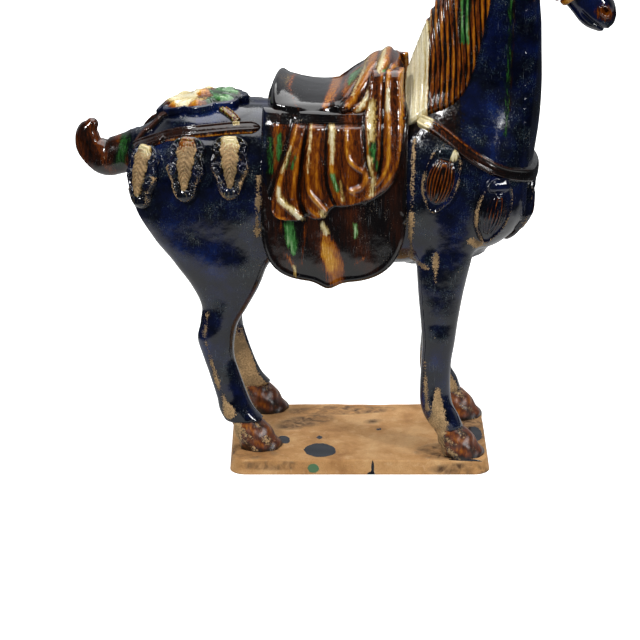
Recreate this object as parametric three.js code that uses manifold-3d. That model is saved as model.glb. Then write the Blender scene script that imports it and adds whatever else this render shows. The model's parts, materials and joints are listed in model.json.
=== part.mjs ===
// A standing caparisoned horse of glazed earthenware, in the three-colour (sancai) manner.
// It was press-moulded and luted together while wet, and fired with its base slab as one piece,
// so everything here is joined into one solid.
// Millimetres, +Z up, the horse faces +X. The origin is the centre of the base's underside.
import * as THREE from "three";
import { mergeVertices } from "three/addons/utils/BufferGeometryUtils.js";
import Module from "manifold-3d";

const wasm = await Module();
wasm.setup();

// The base slab, and how the horse was set down on it: a little askew, chest to the front edge.
const BASE = { length: 284, width: 176, thick: 16, corner: 18, slope: 2 };
const HORSE_TURN = THREE.MathUtils.degToRad(5.5);
const HORSE_SET_BACK = 6;
const JOIN_TOLERANCE = 0.15;

// Barrel: [x, back, belly, half width, squareness of the section].
const BARREL = [
  [-252, 334, 306, 10, 2],
  [-248, 348, 288, 30, 2.1],
  [-232, 364, 266, 53, 2.2],
  [-205, 382, 252, 68, 2.3],
  [-165, 393, 240, 76, 2.3],
  [-105, 392, 226, 76, 2.3],
  [-30, 391, 215, 77, 2.3],
  [40, 398, 219, 76, 2.3],
  [95, 404, 225, 74, 2.3],
  [140, 400, 240, 67, 2.2],
  [164, 386, 254, 54, 2.1],
  [177, 364, 270, 37, 2],
  [181, 345, 292, 22, 2],
  [183, 332, 308, 8, 2],
];

// Neck: [z, crest x, throat x, half width].
const NECK = [
  [290, 34, 172, 60],
  [335, 34, 185, 62],
  [380, 41, 192, 55],
  [420, 52, 194, 46],
  [460, 66, 191, 41],
  [500, 82, 188, 37],
  [540, 101, 185, 33],
  [575, 121, 182, 29],
  [602, 140, 184, 24],
  [618, 154, 176, 14],
];

// Head, in its own frame: [distance from the poll, forehead side, jaw side, half width].
const HEAD_POLL = { x: 160, z: 601 };
const HEAD_DROOP = THREE.MathUtils.degToRad(47);
const HEAD = [
  [-26, 4, -12, 8],
  [-18, 17, -27, 20],
  [0, 26, -39, 26],
  [24, 31, -49, 28],
  [46, 30, -47, 27],
  [70, 24, -34, 22],
  [95, 19, -24, 17.5],
  [118, 19, -22, 18],
  [138, 17, -22, 18.5],
  [152, 10, -16, 14],
  [157, 3, -8, 7],
];

// Legs from the trunk to the pastern: [z, back x, front x, middle y, half width].
const FORELEG = [
  [46, 85, 119, 58, 16],
  [58, 77, 114, 58, 16.5],
  [72, 72, 107, 58, 15.5],
  [90, 71, 104, 57.5, 14],
  [120, 72, 104.5, 57, 14],
  [144, 72.5, 108, 56, 16],
  [170, 70.5, 111.5, 55, 17],
  [200, 67.5, 116.5, 53, 19],
  [235, 65, 124, 50, 22],
  [270, 62, 132, 46, 24],
  [310, 66, 132, 40, 24],
];
const HINDLEG = [
  [46, -143, -99, 57, 16],
  [58, -149, -110, 56.5, 16],
  [72, -152, -117, 56, 15],
  [100, -160.5, -127, 55.5, 14],
  [120, -167, -132.5, 55.5, 14.5],
  [140, -172.5, -132, 55, 16.5],
  [158, -168.5, -128, 54.5, 17],
  [176, -167, -118, 54, 18],
  [200, -179, -105, 52, 22],
  [225, -197, -96, 50, 27],
  [250, -219, -89, 47, 31],
  [285, -240, -86, 42, 36],
  [320, -244, -94, 38, 38],
  [352, -232, -106, 33, 36],
  [374, -212, -122, 28, 28],
];
// How far the far-side feet stand behind the near-side ones.
const FAR_STEP = { fore: -8, hind: -5 };

// Hooves: half length and half width at the coronet and at the sole.
const HOOF = { coronet: [19, 17], sole: [23.5, 20], high: 27, lean: 15 };

// Docked tail, curled up: [step, x, z, half thickness, half width].
const TAIL = [
  [0, -228, 340, 22, 15],
  [1, -246, 336, 23, 18],
  [2, -264, 332, 23, 18],
  [3, -281, 330, 21, 15],
  [4, -295, 338, 17, 13],
  [5, -299, 352, 13, 11],
  [6, -297, 364, 10, 8],
  [7, -292, 373, 3, 3],
];

// Saddle seat: [x, top, underside, half width].
const SEAT = [
  [-97, 408, 388, 30],
  [-91, 421, 376, 52],
  [-78, 418, 370, 62],
  [-55, 412, 368, 65],
  [-30, 414, 368, 64],
  [-8, 428, 368, 61],
  [12, 443, 372, 57],
  [27, 450, 380, 51],
  [38, 446, 392, 44],
  [45, 434, 404, 32],
];

// Saddle cloth: where its outline runs, and how far its outer face stands from the middle at each height.
const CLOTH = { back: -100, front: 56, hem: 213.5, side: 300, thick: 10, tip: 6, tipAt: -28, tipWide: 9 };
const CLOTH_FACE = [
  [205, 77],
  [240, 82],
  [280, 84.5],
  [320, 84],
  [355, 79],
  [385, 70],
  [402, 60],
];

// Gathered cover over the saddle cloth: each fold's ridge, its half width and height at either end.
const FOLDS = [
  {
    path: [[-63, 391], [-68, 362], [-78, 328], [-80, 312], [-68, 301], [-55, 289]],
    wide: [6, 11],
    high: [6, 11],
  },
  { path: [[-54, 391], [-58, 366], [-66, 338], [-67, 312]], wide: [6, 8], high: [5, 8] },
  { path: [[-45, 391], [-47, 355], [-48, 322], [-40, 304], [-35, 292]], wide: [5, 9], high: [7, 9] },
  { path: [[-34, 391], [-33, 352], [-30, 318], [-22, 306]], wide: [5, 8], high: [5, 6] },
  { path: [[-25, 391], [-25, 360], [-21, 330], [-12, 308]], wide: [5, 7], high: [7, 6] },
  { path: [[-11, 391], [-9, 366], [-4, 350], [7, 344], [13, 334], [6, 324]], wide: [6, 7], high: [6, 8] },
  { path: [[18, 404], [18, 376], [20, 350], [19, 326]], wide: [7, 6], high: [7, 6] },
  { path: [[28, 408], [29, 376], [29, 350], [23, 328]], wide: [4, 5], high: [9, 7] },
  { path: [[38, 410], [41, 376], [41, 350], [32, 327], [12, 314], [-12, 307]], wide: [8, 7], high: [10, 6] },
];

// Mane, falling straight down both sides: its hem as [x, z], and its strands.
const MANE_HEM = [
  [38, 392],
  [54, 384],
  [77, 396],
  [93, 400],
  [109, 407],
  [119, 420],
  [129, 455],
  [139, 510],
  [147, 565],
  [153, 606],
];
const MANE = { strands: 11, thick: 6, groove: 3 };

// Harness: raised straps, with leaf-shaped pendants on the crupper and tassels on the breast strap.
const STRAP = { wide: 9, high: 4.5 };
const CRUPPER_Z = [
  [-243, 346],
  [-231, 356],
  [-213, 365],
  [-187, 373],
  [-141, 380],
  [-96, 383],
];
// Breast strap: [turn from the chest's front in degrees, height].
const BREAST_STRAP = [
  [0, 326],
  [22, 329],
  [45, 341],
  [65, 358],
  [84, 374],
  [104, 388],
];
const PENDANT = { high: 68, wide: 21, thick: 4, turns: [21, 67, 108] };
const TASSEL = { high: 66, wide: 15, thick: 7, ribs: 5 };
const TASSEL_TURNS = [0, 35, 92];
const RUMP_MIDDLE = -150;
const ROSETTE = { x: -160, long: 45, wide: 34, high: 11, petals: 8 };

// The parts as one body. Edges that the joins left shorter than the tolerance are closed up, and
// pockets sealed between an ornament and what it lies on are filled.
function joined(parts) {
  const whole = parts.reduce((sum, part) => sum.add(part)).setTolerance(JOIN_TOLERANCE);
  return whole.decompose().reduce((most, body) => (body.volume() > most.volume() ? body : most));
}

// Values on a smooth curve through rows of numbers, keyed by each row's first number, in rising order.
function through(rows, key) {
  const last = rows.length - 1;
  let i = 0;
  while (i < last - 1 && key > rows[i + 1][0]) i++;
  const [p, q] = [rows[i], rows[i + 1]];
  const span = q[0] - p[0];
  const f = THREE.MathUtils.clamp((key - p[0]) / span, 0, 1);
  const slope = (k, j) => {
    const [a, b] = [rows[Math.max(k - 1, 0)], rows[Math.min(k + 1, last)]];
    return ((b[j] - a[j]) / (b[0] - a[0])) * span;
  };
  const [f2, f3] = [f * f, f * f * f];
  return p.map(
    (v, j) =>
      v * (2 * f3 - 3 * f2 + 1) +
      slope(i, j) * (f3 - 2 * f2 + f) +
      q[j] * (3 * f2 - 2 * f3) +
      slope(i + 1, j) * (f3 - f2),
  );
}

// Evenly spaced numbers from one value to another, both included.
function spread(from, to, steps) {
  return Array.from({ length: steps + 1 }, (_, i) => from + ((to - from) * i) / steps);
}

// A closed surface as a solid, whichever way round its faces were made.
function solidFrom(geometry) {
  const bare = new THREE.BufferGeometry().setAttribute("position", geometry.getAttribute("position"));
  if (geometry.index) bare.setIndex(geometry.index);
  const merged = mergeVertices(bare, 1e-3);
  const vertProperties = new Float32Array(merged.attributes.position.array);
  const triVerts = new Uint32Array(merged.index.array);
  const made = new wasm.Manifold(new wasm.Mesh({ numProp: 3, vertProperties, triVerts }));
  if (made.volume() > 0) return made;
  return new wasm.Manifold(new wasm.Mesh({ numProp: 3, vertProperties, triVerts: triVerts.reverse() }));
}

// A solid skinned over closed rings of points, with each end drawn in to its middle.
function skin(rings) {
  const sides = rings[0].length;
  const points = rings.flat();
  const middle = (ring) => ring.reduce((sum, p) => sum.add(p), new THREE.Vector3()).divideScalar(sides);
  points.push(middle(rings[0]), middle(rings.at(-1)));
  const index = [];
  for (let i = 0; i < rings.length - 1; i++)
    for (let j = 0; j < sides; j++) {
      const [a, b] = [i * sides + j, i * sides + ((j + 1) % sides)];
      index.push(a, b, b + sides, a, b + sides, a + sides);
    }
  const far = (rings.length - 1) * sides;
  for (let j = 0; j < sides; j++) {
    const k = (j + 1) % sides;
    index.push(rings.length * sides, k, j, rings.length * sides + 1, far + j, far + k);
  }
  return solidFrom(new THREE.BufferGeometry().setFromPoints(points).setIndex(index));
}

// The cosine and sine of an angle, filled out from a circle towards a box as squareness grows.
function roundSection(angle, squareness = 2) {
  const fill = (v) => Math.sign(v) * Math.abs(v) ** (2 / squareness);
  return [fill(Math.cos(angle)), fill(Math.sin(angle))];
}

function ringOf(sides, place) {
  return spread(0, 2 * Math.PI, sides)
    .slice(0, sides)
    .map((angle) => new THREE.Vector3(...place(angle)));
}

// Barrel and neck as one body, negative inside, for setting ornaments on its surface.
function bodyField(x, y, z) {
  const [, back, belly, wide, square] = through(BARREL, x);
  const past = Math.max(BARREL[0][0] - x, x - BARREL.at(-1)[0], 0);
  const up = Math.abs((2 * z - back - belly) / (back - belly));
  const barrel = up ** square + Math.abs(y / wide) ** square - 1 + past;
  const [, crest, throat, half] = through(NECK, z);
  const beyond = Math.max(NECK[0][0] - z, z - NECK.at(-1)[0], 0);
  const neck = ((2 * x - crest - throat) / (throat - crest)) ** 2 + (y / half) ** 2 - 1 + beyond;
  return Math.min(barrel, neck);
}

// Where a line from a point inside the body leaves it, with the way out that its surface faces there.
function onBody(from, way) {
  let [near, far] = [0, 260];
  for (let i = 0; i < 40; i++) {
    const mid = (near + far) / 2;
    const p = from.clone().addScaledVector(way, mid);
    if (bodyField(p.x, p.y, p.z) < 0) near = mid;
    else far = mid;
  }
  const point = from.clone().addScaledVector(way, far);
  const step = 0.5;
  const slope = (x, y, z) =>
    bodyField(point.x + x, point.y + y, point.z + z) - bodyField(point.x - x, point.y - y, point.z - z);
  const normal = new THREE.Vector3(slope(step, 0, 0), slope(0, step, 0), slope(0, 0, step)).normalize();
  return { point, normal };
}

function barrel() {
  const [tail, chest] = [BARREL[0][0], BARREL.at(-1)[0]];
  const rings = spread(0, Math.PI, 20).map((turn) => {
    const x = (tail + chest) / 2 - ((chest - tail) / 2) * Math.cos(turn);
    const [, back, belly, wide, square] = through(BARREL, x);
    return ringOf(20, (angle) => {
      const [c, s] = roundSection(angle, square);
      return [x, wide * c, (back + belly) / 2 + ((back - belly) / 2) * s];
    });
  });
  return skin(rings);
}

function neck() {
  const rings = spread(NECK[0][0], NECK.at(-1)[0], 10).map((z) => {
    const [, crest, throat, wide] = through(NECK, z);
    return ringOf(16, (angle) => [
      (crest + throat) / 2 + ((throat - crest) / 2) * Math.cos(angle),
      wide * Math.sin(angle),
      z,
    ]);
  });
  return skin(rings);
}

// A point given from the poll towards the muzzle, and out towards the forehead, in the horse's frame.
function onHead(along, out) {
  const [c, s] = [Math.cos(HEAD_DROOP), Math.sin(HEAD_DROOP)];
  return [HEAD_POLL.x + along * c + out * s, HEAD_POLL.z - along * s + out * c];
}

function head() {
  const rings = spread(0, 1, 12).map((f) => {
    const along = HEAD[0][0] + (HEAD.at(-1)[0] - HEAD[0][0]) * (0.5 - 0.5 * Math.cos(Math.PI * f));
    const [, brow, jaw, wide] = through(HEAD, along);
    return ringOf(12, (angle) => {
      const [c, s] = roundSection(angle, 2.3);
      const [x, z] = onHead(along, (brow + jaw) / 2 + ((brow - jaw) / 2) * c);
      return [x, wide * s, z];
    });
  });
  return skin(rings);
}

// Pricked ears, eye bosses, nostrils and the forelock between the ears.
function headDetails() {
  const parts = [];
  for (const side of [-1, 1]) {
    const ear = [
      [0, 7, 6, 156, 15, 606],
      [1, 10, 6, 155, 16, 622],
      [2, 8, 5, 157, 17, 640],
      [3, 2, 1.5, 162, 17, 655],
    ];
    parts.push(
      skin(
        spread(0, 3, 4).map((t) => {
          const [, deep, wide, x, y, z] = through(ear, t);
          return ringOf(6, (angle) => [x + deep * Math.cos(angle), side * (y + wide * Math.sin(angle)), z]);
        }),
      ),
    );
    for (const [along, out, y, size] of [
      [44, 10, 20, 9],
      [136, 8, 12, 7],
    ]) {
      const [x, z] = onHead(along, out);
      parts.push(solidFrom(new THREE.SphereGeometry(size, 8, 5).translate(x, side * y, z)));
    }
  }
  const lock = [
    [0, -18, 20, 10, 7],
    [1, 2, 27, 13, 8],
    [2, 22, 31, 11, 6],
    [3, 40, 29, 3, 3],
  ];
  parts.push(
    skin(
      spread(0, 3, 4).map((t) => {
        const [, along, out, wide, thick] = through(lock, t);
        return ringOf(6, (angle) => {
          const [x, z] = onHead(along, out + thick * Math.cos(angle) - 2);
          return [x, wide * Math.sin(angle), z];
        });
      }),
    ),
  );
  return parts;
}

// One leg down to the pastern, then its hoof, standing on the slab.
function leg(rows, side, step) {
  const [low, high] = [rows[0][0], rows.at(-1)[0]];
  const shift = (z) => step * THREE.MathUtils.smoothstep(high - z, 0, high - low);
  const shank = skin(
    spread(0, 1, 12).map((f) => {
      const z = low + (high - low) * f ** 1.3;
      const [, back, front, y, wide] = through(rows, z);
      return ringOf(10, (angle) => [
        (back + front) / 2 + shift(z) + ((front - back) / 2) * Math.cos(angle),
        side * (y + wide * Math.sin(angle)),
        z,
      ]);
    }),
  );
  const [, back, front, y] = rows[0];
  const top = BASE.thick + HOOF.high;
  const hoofRings = [
    [top + 8, HOOF.coronet[0] - 4, HOOF.coronet[1] - 4, 0],
    [top, ...HOOF.coronet, 2],
    [BASE.thick + 5, ...HOOF.sole, HOOF.lean],
    [BASE.thick - 4, ...HOOF.sole, HOOF.lean + 1],
  ].map(([z, long, wide, lean]) =>
    ringOf(12, (angle) => [
      (back + front) / 2 + shift(low) + lean + long * Math.cos(angle),
      side * y + wide * Math.sin(angle),
      z + (z > BASE.thick ? -4 * Math.cos(angle) : 0),
    ]),
  );
  return shank.add(skin(hoofRings));
}

function tail() {
  const rings = spread(0, TAIL.length - 1, 10).map((t) => {
    const [, x, z, thick, wide] = through(TAIL, t);
    const [, x1, z1] = through(TAIL, Math.min(t + 0.1, TAIL.length - 1));
    const [, x0, z0] = through(TAIL, Math.max(t - 0.1, 0));
    const across = new THREE.Vector3(z1 - z0, 0, x0 - x1).normalize();
    return ringOf(8, (angle) => [
      x + across.x * thick * Math.cos(angle),
      wide * Math.sin(angle),
      z + across.z * thick * Math.cos(angle),
    ]);
  });
  return skin(rings);
}

function seat() {
  const rings = spread(SEAT[0][0], SEAT.at(-1)[0], 10).map((x) => {
    const [, top, under, wide] = through(SEAT, x);
    return ringOf(12, (angle) => {
      const [c, s] = roundSection(angle, 2.6);
      return [x, wide * c, (top + under) / 2 + ((top - under) / 2) * s];
    });
  });
  return skin(rings);
}

// Outer face of the saddle cloth at a point of the side view, measured from the middle.
function clothFace(x, z) {
  const inset = Math.abs(2 * x - CLOTH.back - CLOTH.front) / (CLOTH.front - CLOTH.back);
  return through(CLOTH_FACE, z)[1] - 3.5 * inset ** 6;
}

// How far the gathered cover's folds stand up at a point of the side view.
function foldRelief(x, z) {
  const rises = FOLDS.map(({ path, wide, high }) => {
    let nearest = { away: Infinity, along: 0 };
    for (let i = 0; i < path.length - 1; i++) {
      const [[x0, z0], [x1, z1]] = [path[i], path[i + 1]];
      const reach = (x1 - x0) ** 2 + (z1 - z0) ** 2;
      const f = THREE.MathUtils.clamp(((x - x0) * (x1 - x0) + (z - z0) * (z1 - z0)) / reach, 0, 1);
      const away = Math.hypot(x - x0 - f * (x1 - x0), z - z0 - f * (z1 - z0));
      if (away < nearest.away) nearest = { away, along: (i + f) / (path.length - 1) };
    }
    const grown = ([top, foot]) => top + (foot - top) * nearest.along;
    return grown(high) * Math.sqrt(Math.max(0, 1 - (nearest.away / grown(wide)) ** 2));
  });
  return Math.max(...rises);
}

function saddleCloth(side) {
  const half = (CLOTH.front - CLOTH.back) / 2;
  const columns = spread(-1, 1, 26).map((step) => {
    const across = Math.sin((step * Math.PI) / 2) * 0.35 + step * 0.65;
    const x = (CLOTH.back + CLOTH.front) / 2 + half * 0.999 * across;
    const square = across < 0 ? 4 : 3;
    const drop = (1 - Math.abs(across) ** square) ** (1 / square);
    const tip = CLOTH.tip * Math.exp(-(((x - CLOTH.tipAt) / CLOTH.tipWide) ** 2));
    const hem = CLOTH.side - (CLOTH.side - CLOTH.hem) * drop - tip;
    const top = CLOTH_FACE.at(-1)[0];
    const outer = spread(top, hem, 8).map(
      (z) => new THREE.Vector3(x, side * (clothFace(x, z) + foldRelief(x, z)), z),
    );
    const [, , , wide] = through(BARREL, x);
    const inner = [hem + 3, top].map(
      (z) => new THREE.Vector3(x, side * Math.min(wide - 12, clothFace(x, z) - CLOTH.thick), z),
    );
    return [...outer, ...inner];
  });
  return skin(columns);
}

// A raised ridge of half-round section carried along points that each have a normal to stand on.
function ridge(marks, widths, heights, sink = 4) {
  const rings = marks.map(({ point, normal }, i) => {
    const ahead = marks[Math.min(i + 1, marks.length - 1)].point;
    const behind = marks[Math.max(i - 1, 0)].point;
    const across = ahead.clone().sub(behind).cross(normal).normalize();
    const [w, h] = [widths[i], heights[i]];
    return [
      [-w, -sink],
      [-w * 0.75, h * 0.6],
      [0, h],
      [w * 0.75, h * 0.6],
      [w, -sink],
    ].map(([a, b]) => point.clone().addScaledVector(across, a).addScaledVector(normal, b));
  });
  return skin(rings);
}

// Mane: a thick sheet over the crest, grooved into strands, to its hem on both sides.
function mane() {
  const crest = NECK.map(([z, x]) => [x, z]).filter(([x]) => x > 35);
  const [first, last] = [MANE_HEM[0][0], MANE_HEM.at(-1)[0]];
  const steps = 2 * MANE.strands;
  const columns = spread(first, last, steps).map((x, i) => {
    const hem = through(MANE_HEM, x)[1];
    const top = Math.max(through(crest, x)[1], hem + 6);
    const puff = MANE.thick - (i % 2 ? MANE.groove : 0);
    const side = spread(0, 1, 2).map((f) => {
      const z = hem + (top - hem) * f ** 0.8;
      const { point } = onBody(new THREE.Vector3(x, 0, Math.min(z, top - 3)), new THREE.Vector3(0, 1, 0));
      return [point.y, z];
    });
    const left = side.map(([y, z]) => [y + puff, z]);
    left.unshift([Math.max(side[0][0] - 8, 2), side[0][1] + 1]);
    const right = left.map(([y, z]) => [-y, z]).reverse();
    const ring = [...left, [0, top + MANE.thick], ...right];
    return ring.map(([y, z]) => new THREE.Vector3(x, y, z));
  });
  return skin(columns);
}

function crupperStrap(side) {
  const marks = spread(CRUPPER_Z[0][0], CRUPPER_Z.at(-1)[0], 12).map((x) =>
    onBody(new THREE.Vector3(x, 0, through(CRUPPER_Z, x)[1]), new THREE.Vector3(0, side, 0)),
  );
  return evenRidge(marks);
}

function evenRidge(marks) {
  return ridge(marks, marks.map(() => STRAP.wide / 2), marks.map(() => STRAP.high));
}

// Straps over the top of the rump, from the rosette to the tail and to the crupper strap.
function rumpStraps(side) {
  return [
    [[-196, 14], [-236, 12]],
    [[-132, 22], [-122, 60]],
  ].map(([from, to]) => {
    const marks = spread(0, 1, 4).map((f) => {
      const x = from[0] + (to[0] - from[0]) * f;
      const y = side * (from[1] + (to[1] - from[1]) * f);
      const middle = new THREE.Vector3(x, 0, 320);
      return onBody(middle, new THREE.Vector3(x, y, 390).sub(middle).normalize());
    });
    return evenRidge(marks);
  });
}

// A point of the chest at a turn from its front and a height.
function onChest(degrees, z) {
  const turn = THREE.MathUtils.degToRad(degrees);
  return onBody(new THREE.Vector3(95, 0, z), new THREE.Vector3(Math.cos(turn), Math.sin(turn), 0));
}

function breastStrap() {
  const end = BREAST_STRAP.at(-1)[0];
  const marks = spread(-end, end, 24).map((turn) => onChest(turn, through(BREAST_STRAP, Math.abs(turn))[1]));
  return evenRidge(marks);
}

// A ribbed tassel hanging on the chest below the breast strap.
function tassel(turn) {
  const top = through(BREAST_STRAP, Math.abs(turn))[1];
  const rings = spread(0, 1, 5).map((f) => {
    const z = top - TASSEL.high * f;
    const size = Math.max(Math.sin(Math.PI * (0.12 + 0.85 * f)), 0.15);
    const { point, normal } = onChest(turn, z);
    const across = new THREE.Vector3(-normal.y, normal.x, 0).normalize();
    return ringOf(2 * TASSEL.ribs, (angle) => {
      const rib = Math.round((angle * TASSEL.ribs) / Math.PI) % 2 ? 0.86 : 1;
      return point
        .clone()
        .addScaledVector(across, TASSEL.wide * size * rib * Math.cos(angle))
        .addScaledVector(normal, TASSEL.thick * size * rib * Math.sin(angle))
        .toArray();
    });
  });
  return skin(rings);
}

// A point of the rump at a turn from the tail and a height.
function onRump(degrees, z) {
  const turn = THREE.MathUtils.degToRad(degrees);
  return onBody(new THREE.Vector3(RUMP_MIDDLE, 0, z), new THREE.Vector3(-Math.cos(turn), Math.sin(turn), 0));
}

// A leaf-shaped pendant: a lobed plate with a raised leaf down its middle.
function pendant(turn) {
  const { x, y } = onRump(turn, CRUPPER_Z[0][1]).point;
  const top = through(CRUPPER_Z, x)[1] - STRAP.wide / 2;
  const turnPerMm = THREE.MathUtils.radToDeg(1 / Math.hypot(x - RUMP_MIDDLE, y));
  const place = (p, q, high) => {
    const { point, normal } = onRump(turn + p * turnPerMm, top - q);
    return point.addScaledVector(normal, high);
  };
  const outline = ringOf(12, (angle) => {
    const down = 0.5 - 0.5 * Math.cos(angle);
    const lobe = 0.8 + 0.2 * Math.cos(2 * Math.PI * down * 2.2);
    const wide = Math.sign(Math.sin(angle)) * Math.abs(Math.sin(angle)) ** 0.7;
    return [PENDANT.wide * wide * lobe * (1 - 0.35 * down), PENDANT.high * down, 0];
  });
  const middle = PENDANT.high / 2;
  const level = (scale, high) =>
    outline.map(({ x, y }) => place(x * scale, middle + (y - middle) * scale, high));
  const { thick } = PENDANT;
  const plate = skin([level(1, -5), level(1, thick / 2), level(0.82, thick), level(0.3, thick)]);
  const leaf = [
    [0, 3, 4],
    [0.35, 10, 8],
    [0.75, 7, 7],
    [1, 1.5, 4],
  ].map(([f, wide, high]) => {
    const q = PENDANT.high * (0.09 + 0.7 * f);
    const blade = spread(-1, 1, 4).map((p) => place(p * wide, q, high - 1 + (p ? 0 : 1)));
    blade[0] = place(-wide, q, 0);
    blade[4] = place(wide, q, 0);
    return [...blade, place(0, q, -4)];
  });
  return plate.add(skin(leaf));
}

// The cluster on top of the rump: petals round a boss.
function rosette() {
  const rings = [
    [1, -9],
    [1, 3],
    [0.72, ROSETTE.high * 0.8],
    [0.3, ROSETTE.high],
  ].map(([scale, high]) =>
    ringOf(2 * ROSETTE.petals, (angle) => {
      const petal = Math.round((angle * ROSETTE.petals) / Math.PI) % 2 ? 0.86 : 1;
      const x = ROSETTE.x + ROSETTE.long * scale * petal * Math.cos(angle);
      const y = ROSETTE.wide * scale * petal * Math.sin(angle);
      const middle = new THREE.Vector3(x, 0, 320);
      const { point, normal } = onBody(middle, new THREE.Vector3(x, y, 392).sub(middle).normalize());
      return point.addScaledVector(normal, high).toArray();
    }),
  );
  return skin(rings);
}

function baseSlab() {
  const { length, width, thick, corner, slope } = BASE;
  const outline = (inset) => {
    const [x, y, r] = [length / 2 - inset, width / 2 - inset, corner];
    return [
      [x - r, -y + r, -90],
      [x - r, y - r, 0],
      [-x + r, y - r, 90],
      [-x + r, -y + r, 180],
    ].flatMap(([cx, cy, start]) =>
      spread(start, start + 90, 3).map((d) => {
        const turn = THREE.MathUtils.degToRad(d);
        return [cx + r * Math.cos(turn), cy + r * Math.sin(turn)];
      }),
    );
  };
  const level = (inset, z) => outline(inset).map(([x, y]) => new THREE.Vector3(x, y, z));
  return skin([level(0, 0), level(0, thick * 0.35), level(slope * 0.5, thick - 2), level(slope, thick)]);
}

function horse() {
  const parts = [barrel(), neck(), head(), ...headDetails(), mane(), tail()];
  parts.push(seat(), breastStrap(), rosette());
  parts.push(leg(FORELEG, -1, 0), leg(FORELEG, 1, FAR_STEP.fore));
  parts.push(leg(HINDLEG, -1, 0), leg(HINDLEG, 1, FAR_STEP.hind));
  for (const side of [-1, 1]) {
    parts.push(saddleCloth(side), crupperStrap(side), ...rumpStraps(side));
    parts.push(...PENDANT.turns.map((turn) => pendant(side * turn)));
    parts.push(...TASSEL_TURNS.filter((turn) => turn || side > 0).map((turn) => tassel(side * turn)));
  }
  const whole = joined(parts);
  const turned = new THREE.Matrix4().makeRotationZ(-HORSE_TURN);
  const set = new THREE.Matrix4().makeTranslation(0, HORSE_SET_BACK, 0).multiply(turned);
  return whole.transform(set.elements);
}

function meshFrom(solid, name, material) {
  const { numProp, vertProperties, triVerts } = solid.getMesh();
  const position = new Float32Array((vertProperties.length / numProp) * 3);
  for (let i = 0; i < position.length / 3; i++)
    position.set(vertProperties.subarray(i * numProp, i * numProp + 3), i * 3);
  const geometry = new THREE.BufferGeometry()
    .setAttribute("position", new THREE.BufferAttribute(position, 3))
    .setIndex(new THREE.BufferAttribute(triVerts, 1));
  const mesh = new THREE.Mesh(geometry, material);
  mesh.name = name;
  return mesh;
}

const glaze = new THREE.MeshStandardMaterial({ color: 0x0c1440, roughness: 0.15, metalness: 0 });
const group = new THREE.Group();
group.name = "sancai horse figure";
group.add(meshFrom(baseSlab().add(horse()), "sancai_horse", glaze));

export default group;
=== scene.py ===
# A standing caparisoned horse of glazed earthenware in the three-colour manner, on its base slab.
# Sizes are millimetres in the horse's own frame until set_down turns it on its slab and makes them metres.
import json
import math

import bpy
import numpy as np
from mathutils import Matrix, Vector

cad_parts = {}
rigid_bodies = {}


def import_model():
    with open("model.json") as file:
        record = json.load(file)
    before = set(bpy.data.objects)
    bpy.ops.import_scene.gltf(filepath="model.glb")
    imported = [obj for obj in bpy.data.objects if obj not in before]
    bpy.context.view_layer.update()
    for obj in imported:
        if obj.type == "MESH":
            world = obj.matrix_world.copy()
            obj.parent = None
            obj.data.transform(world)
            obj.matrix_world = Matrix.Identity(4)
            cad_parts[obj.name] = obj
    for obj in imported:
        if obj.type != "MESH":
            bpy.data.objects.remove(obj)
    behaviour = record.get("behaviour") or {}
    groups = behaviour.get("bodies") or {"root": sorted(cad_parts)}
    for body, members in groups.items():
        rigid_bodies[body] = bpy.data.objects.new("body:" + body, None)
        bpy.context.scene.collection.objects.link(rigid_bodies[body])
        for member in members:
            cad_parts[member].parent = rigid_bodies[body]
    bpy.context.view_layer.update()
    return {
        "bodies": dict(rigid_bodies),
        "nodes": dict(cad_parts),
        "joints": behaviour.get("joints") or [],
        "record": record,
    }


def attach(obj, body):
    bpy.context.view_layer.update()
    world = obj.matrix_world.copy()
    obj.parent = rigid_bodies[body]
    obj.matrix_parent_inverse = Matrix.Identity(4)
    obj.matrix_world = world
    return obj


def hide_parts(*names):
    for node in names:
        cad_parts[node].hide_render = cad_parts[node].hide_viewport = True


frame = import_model()

# Base slab: coarse buff clay rolled out, cut with a knife and left bare, a little uneven by hand.
# The hooves were luted to it while wet, and blue and green glaze dripped on it in the kiln.
MM = 0.001
SLAB = {"long": 284, "wide": 176, "thick": 16, "corner": 18, "slope": 2.2, "rim": 1.8}
SLAB_NET = {"round": 380, "out": 46, "rim": 5, "down": 12, "under": 6}
# Drips on the slab: [x, y, half length, half width, turn in degrees]. On the sides, y goes on down
# from the top edge.
BLUE_DRIPS = [
    [-43.5, -56, 17.5, 20, 12],
    [-44.6, -18, 3.6, 6, 0],
    [-83, -24, 6, 13, 10],
    [14, -94, 1.6, 10, 0],
    [12, -103, 4.6, 3, 0],
    [128, -8, 9, 22, 0],
    [114, -84, 19, 2.2, -4],
    [22, 6, 3, 4, 0],
]
GREEN_DRIPS = [[-51, -96, 6.4, 6.4, 0]]
# Dark patches on the clay, in the same form: grime, and painted shade round the hooves, under the belly and
# down the near face below the hooves.
GRIME_AND_SHADE = [
    [-20, 66, 66, 16, 4], [132, 30, 20, 66, 0], [-118, -58, 34, 26, 0], [98, -60, 40, 26, 0],
    [116, -97, 44, 9, 0], [-96, -92, 46, 7, 0], [16, 30, 12, 8, 20], [-60, 30, 40, 20, 30],
]


def rounded_rectangle(share, long, wide, corner):
    """Points at shares of the way round a rectangle whose corners are quarter circles: the arcs
    and the straight sides between them, spaced evenly along their length."""
    turn = np.linspace(0, 2 * np.pi, 129)
    x = np.sign(np.cos(turn)) * (long / 2 - corner) + corner * np.cos(turn)
    y = np.sign(np.sin(turn)) * (wide / 2 - corner) + corner * np.sin(turn)
    y[-1] = y[0]
    run = np.concatenate([[0], np.cumsum(np.hypot(np.diff(x), np.diff(y)))])
    return np.interp(share * run[-1], run, x), np.interp(share * run[-1], run, y)


def stacked(*parts):
    """Coordinates stretched to one shape and put together as points."""
    return np.stack(np.broadcast_arrays(*parts), -1)


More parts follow.
